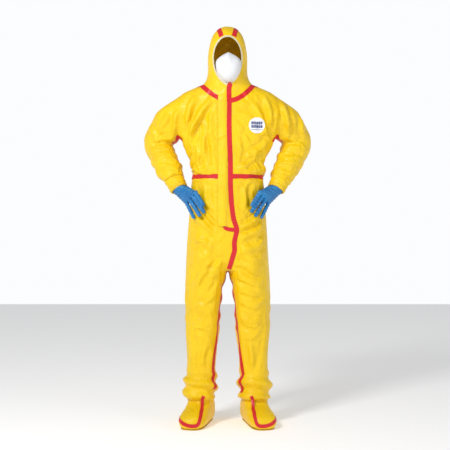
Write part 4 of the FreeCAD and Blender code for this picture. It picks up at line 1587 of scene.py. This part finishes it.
# ---------------------------------------------------------------- tapes of the limbs and hood
def limb_tapes(surface, side_name):
    """The tapes of one sleeve, one leg, one boot and one side of the hood."""
    side = SIDES[side_name]

    def lay(name, guides, panel, width=TAPE, ends=(1, 1), node=None):
        guides = [mirror_if(Vector(p), side) for p in guides]
        piece = lay_ribbon(name + "_" + side_name, surface, guides, width, RED, TAPE_RISE, ends)
        nodes = [node + "_" + side_name] if node else []
        fasten(piece, panel + "_" + side_name, "red_tape", *nodes)

    crook = ELBOW + CROOK_DIR * 0.07
    crook += Y * 0.045
    inner = Vector((-0.55, 0.82, 0.16)).normalized()
    pit = Vector((0.228, MID_Y - 0.008, 1.345))
    upper = [(0.205, MID_Y - 0.010, 1.318), tuple(pit), tuple(pit.lerp(crook, 0.65))]
    lay("underarm_tape", upper, "upper_sleeve")
    low = []
    for along, reach in ((0.07, 0.065), (0.13, 0.06), (0.19, 0.052), (0.25, 0.042)):
        low.append(tuple(ELBOW + FOREARM_DIR * along + inner * reach))
    lay("forearm_tape", low, "forearm_sleeve", node="forearm_seam_tape")
    thigh = [(0.004, MID_Y - 0.02, 0.722), (0.008, MID_Y - 0.02, 0.70)]
    thigh += [(0.02, MID_Y - 0.03, 0.63), (0.03, MID_Y - 0.035, 0.56)]
    lay("thigh_inseam_tape", thigh, "thigh_leg", node="thigh_inseam_tape")
    shin = [(0.03, MID_Y - 0.035, 0.56), (0.036, MID_Y - 0.048, 0.45), (0.05, MID_Y - 0.048, 0.33)]
    shin += [(0.054, MID_Y - 0.048, 0.25), (0.054, MID_Y - 0.04, 0.152)]
    lay("shin_inseam_tape", shin, "shin_leg", node="shin_inseam_tape")
    instep = [(0.108, -0.065, 0.140), (0.110, -0.085, 0.118), (0.112, -0.110, 0.104)]
    instep += [(0.114, -0.140, 0.082), (0.116, -0.165, 0.058), (0.122, -0.185, 0.034)]
    instep += [(0.142, -0.190, 0.022), (0.170, -0.180, 0.022), (0.195, -0.155, 0.028)]
    instep += [(0.207, -0.120, 0.038), (0.207, -0.070, 0.046)]
    lay("boot_tape", instep, "boot", TAPE * 0.75, (1, 0.2), node="boot_seam_tapes")
    crown = [(0.037, -0.075, 1.805), (0.040, -0.050, 1.824), (0.042, -0.010, 1.838)]
    crown += [(0.041, 0.040, 1.840), (0.040, 0.090, 1.822), (0.040, 0.125, 1.780)]
    crown += [(0.040, 0.145, 1.710), (0.040, 0.140, 1.640)]
    lay("hood_tape", crown, "hood")


# ---------------------------------------------------------------- chest label
LABEL_WHITE = (0.85, 0.85, 0.86)
LABEL_INK = (0.05, 0.07, 0.22)


def make_label(surface):
    """A round printed transfer: a white disc with plain blocks in two rows."""
    low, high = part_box("chest_label")
    centre_x, centre_z = (low.x + high.x) / 2, (low.z + high.z) / 2
    radius = (high.z - low.z) / 2
    rings, columns = 9, 48
    top, bottom = [], []
    for r in range(rings):
        for c in range(columns):
            turn = 2 * math.pi * c / columns
            reach = radius * max(r / (rings - 1), 0.01)
            x = centre_x + reach * math.cos(turn)
            z = centre_z + reach * math.sin(turn)
            seat, normal, _, _ = front_hit(surface, x, z)
            top.append(seat + normal * 0.0014)
            bottom.append(seat + normal * 0.0006)
    count = rings * columns
    grid = grid_faces(rings, columns, True)
    middle = [tuple(range(columns))]
    faces = grid + other_side(grid, count) + middle + other_side(middle, count)
    faces += side_wall((rings - 1) * columns, columns, count)
    piece = closed_mesh("chest_label_disc", top + bottom, faces)
    set_look(piece, label_material(centre_x, centre_z, radius))
    sharpen(piece)
    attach(piece, "torso")
    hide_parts("chest_label")


def label_material(centre_x, centre_z, radius):
    """White print with rows of plain blocks, drawn from the object's coordinates."""
    material = new_material("label_print", LABEL_WHITE, 0.45)
    tree = material.node_tree
    place = add_node(material, "ShaderNodeTexCoord")
    split = add_node(material, "ShaderNodeSeparateXYZ")
    join(material, place, "Object", split, "Vector")

    def math_node(kind, a, b=None):
        node = tree.nodes.new("ShaderNodeMath")
        node.operation = kind
        for i, value in enumerate((a, b)):
            if value is None:
                continue
            if isinstance(value, (int, float)):
                node.inputs[i].default_value = value
            else:
                tree.links.new(value, node.inputs[i])
        return node.outputs[0]

    across = math_node("DIVIDE", math_node("SUBTRACT", split.outputs["X"], centre_x), radius)
    up = math_node("DIVIDE", math_node("SUBTRACT", split.outputs["Z"], centre_z), radius)

    def band(value, middle_value, half):
        distance = math_node("ABSOLUTE", math_node("SUBTRACT", value, middle_value))
        return math_node("LESS_THAN", distance, half)

    blocks = math_node("GREATER_THAN", math_node("FRACT", math_node("MULTIPLY", across, 4.2)), 0.16)
    fine = math_node("GREATER_THAN", math_node("FRACT", math_node("MULTIPLY", across, 11.0)), 0.3)
    wide = band(across, 0.0, 0.72)
    rows = [(0.30, 0.18, blocks, wide), (-0.14, 0.18, blocks, wide), (-0.54, 0.05, fine, wide)]
    ink = None
    for height, half, pattern, limit in rows:
        part = math_node("MULTIPLY", math_node("MULTIPLY", band(up, height, half), pattern), limit)
        ink = part if ink is None else math_node("MAXIMUM", ink, part)
    mix = add_node(material, "ShaderNodeMix")
    mix.data_type = "RGBA"
    mix.inputs["A"].default_value = (*LABEL_WHITE, 1)
    mix.inputs["B"].default_value = (*LABEL_INK, 1)
    tree.links.new(ink, mix.inputs["Factor"])
    shader = tree.nodes["Principled BSDF"]
    tree.links.new(mix.outputs["Result"], shader.inputs["Base Color"])
    grain = textured(material, Scale=300.0, Detail=3.0)
    bumped(material, [(grain, "Fac", 0.0003)])
    return material


suit = make_suit()
surface = surface_of(suit)
make_panels(suit)
bpy.data.objects.remove(suit)
front_tape(surface)
ring_tapes(surface)
flap_and_zip(surface)
face_binding(surface)
make_mask()
for side_name in SIDES:
    make_glove(side_name)
    cuff_band(side_name, surface)
    limb_tapes(surface, side_name)
    make_sole(surface, side_name)
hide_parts("hood_seam_tapes")
make_label(surface)


# ---------------------------------------------------------------- stage
FLOOR_HALF = 6
FLOOR_GLOW = 0.30
HORIZON_LIGHT = 1.0  # the world's strength up to just above the horizon
OVERHEAD_LIGHT = 0.32  # and higher up
AIM = Vector((0, 0, 1.0))  # what the lights point at

corners = [(-1, -1), (1, -1), (1, 1), (-1, 1)]
floor_points = [(x * FLOOR_HALF, y * FLOOR_HALF, 0) for x, y in corners]
floor = new_mesh("floor", floor_points, [(0, 1, 2, 3)])
paper = new_material("paper", (0.9, 0.9, 0.9), 0.9)
paper_shader = paper.node_tree.nodes["Principled BSDF"]
paper_shader.inputs["Emission Color"].default_value = (1, 1, 1, 1)
paper_shader.inputs["Emission Strength"].default_value = FLOOR_GLOW
floor.data.materials.append(paper)

world = bpy.data.worlds.new("studio")
bpy.context.scene.world = world
world.use_nodes = True
sky = world.node_tree
height = sky.nodes.new("ShaderNodeSeparateXYZ")
sky.links.new(sky.nodes.new("ShaderNodeTexCoord").outputs["Generated"], height.inputs[0])
fade = sky.nodes.new("ShaderNodeMapRange")
fade.inputs["From Min"].default_value = 0.20
fade.inputs["From Max"].default_value = 0.30
fade.inputs["To Min"].default_value = HORIZON_LIGHT
fade.inputs["To Max"].default_value = OVERHEAD_LIGHT
sky.links.new(height.outputs["Z"], fade.inputs["Value"])
sky.links.new(fade.outputs["Result"], sky.nodes["Background"].inputs["Strength"])
sky.nodes["Background"].inputs["Color"].default_value = (0.97, 0.98, 1.0, 1)
bpy.context.scene.view_settings.view_transform = "Standard"


def add_light(name, place, size, power):
    """A square soft light, aimed at about the middle of the suit."""
    lamp = bpy.data.lights.new(name, "AREA")
    lamp.size = size
    lamp.energy = power
    holder = bpy.data.objects.new(name, lamp)
    holder.location = place
    holder.rotation_euler = (AIM - Vector(place)).to_track_quat("-Z", "Y").to_euler()
    bpy.context.scene.collection.objects.link(holder)


add_light("key", place=(-1.9, -3.0, 3.4), size=0.9, power=112)
add_light("fill", place=(3.0, -2.6, 1.6), size=2.2, power=22)

EYE = (-0.012, -5.0, 1.02)
VIEW_ANGLE = math.radians(23.7)
camera_data = bpy.data.cameras.new("camera")
camera = bpy.data.objects.new("camera", camera_data)
camera.location = EYE
camera.rotation_euler = (math.radians(90), 0, 0)
camera_data.angle = VIEW_ANGLE
camera_data.shift_y = -0.045
bpy.context.scene.collection.objects.link(camera)
bpy.context.scene.camera = camera
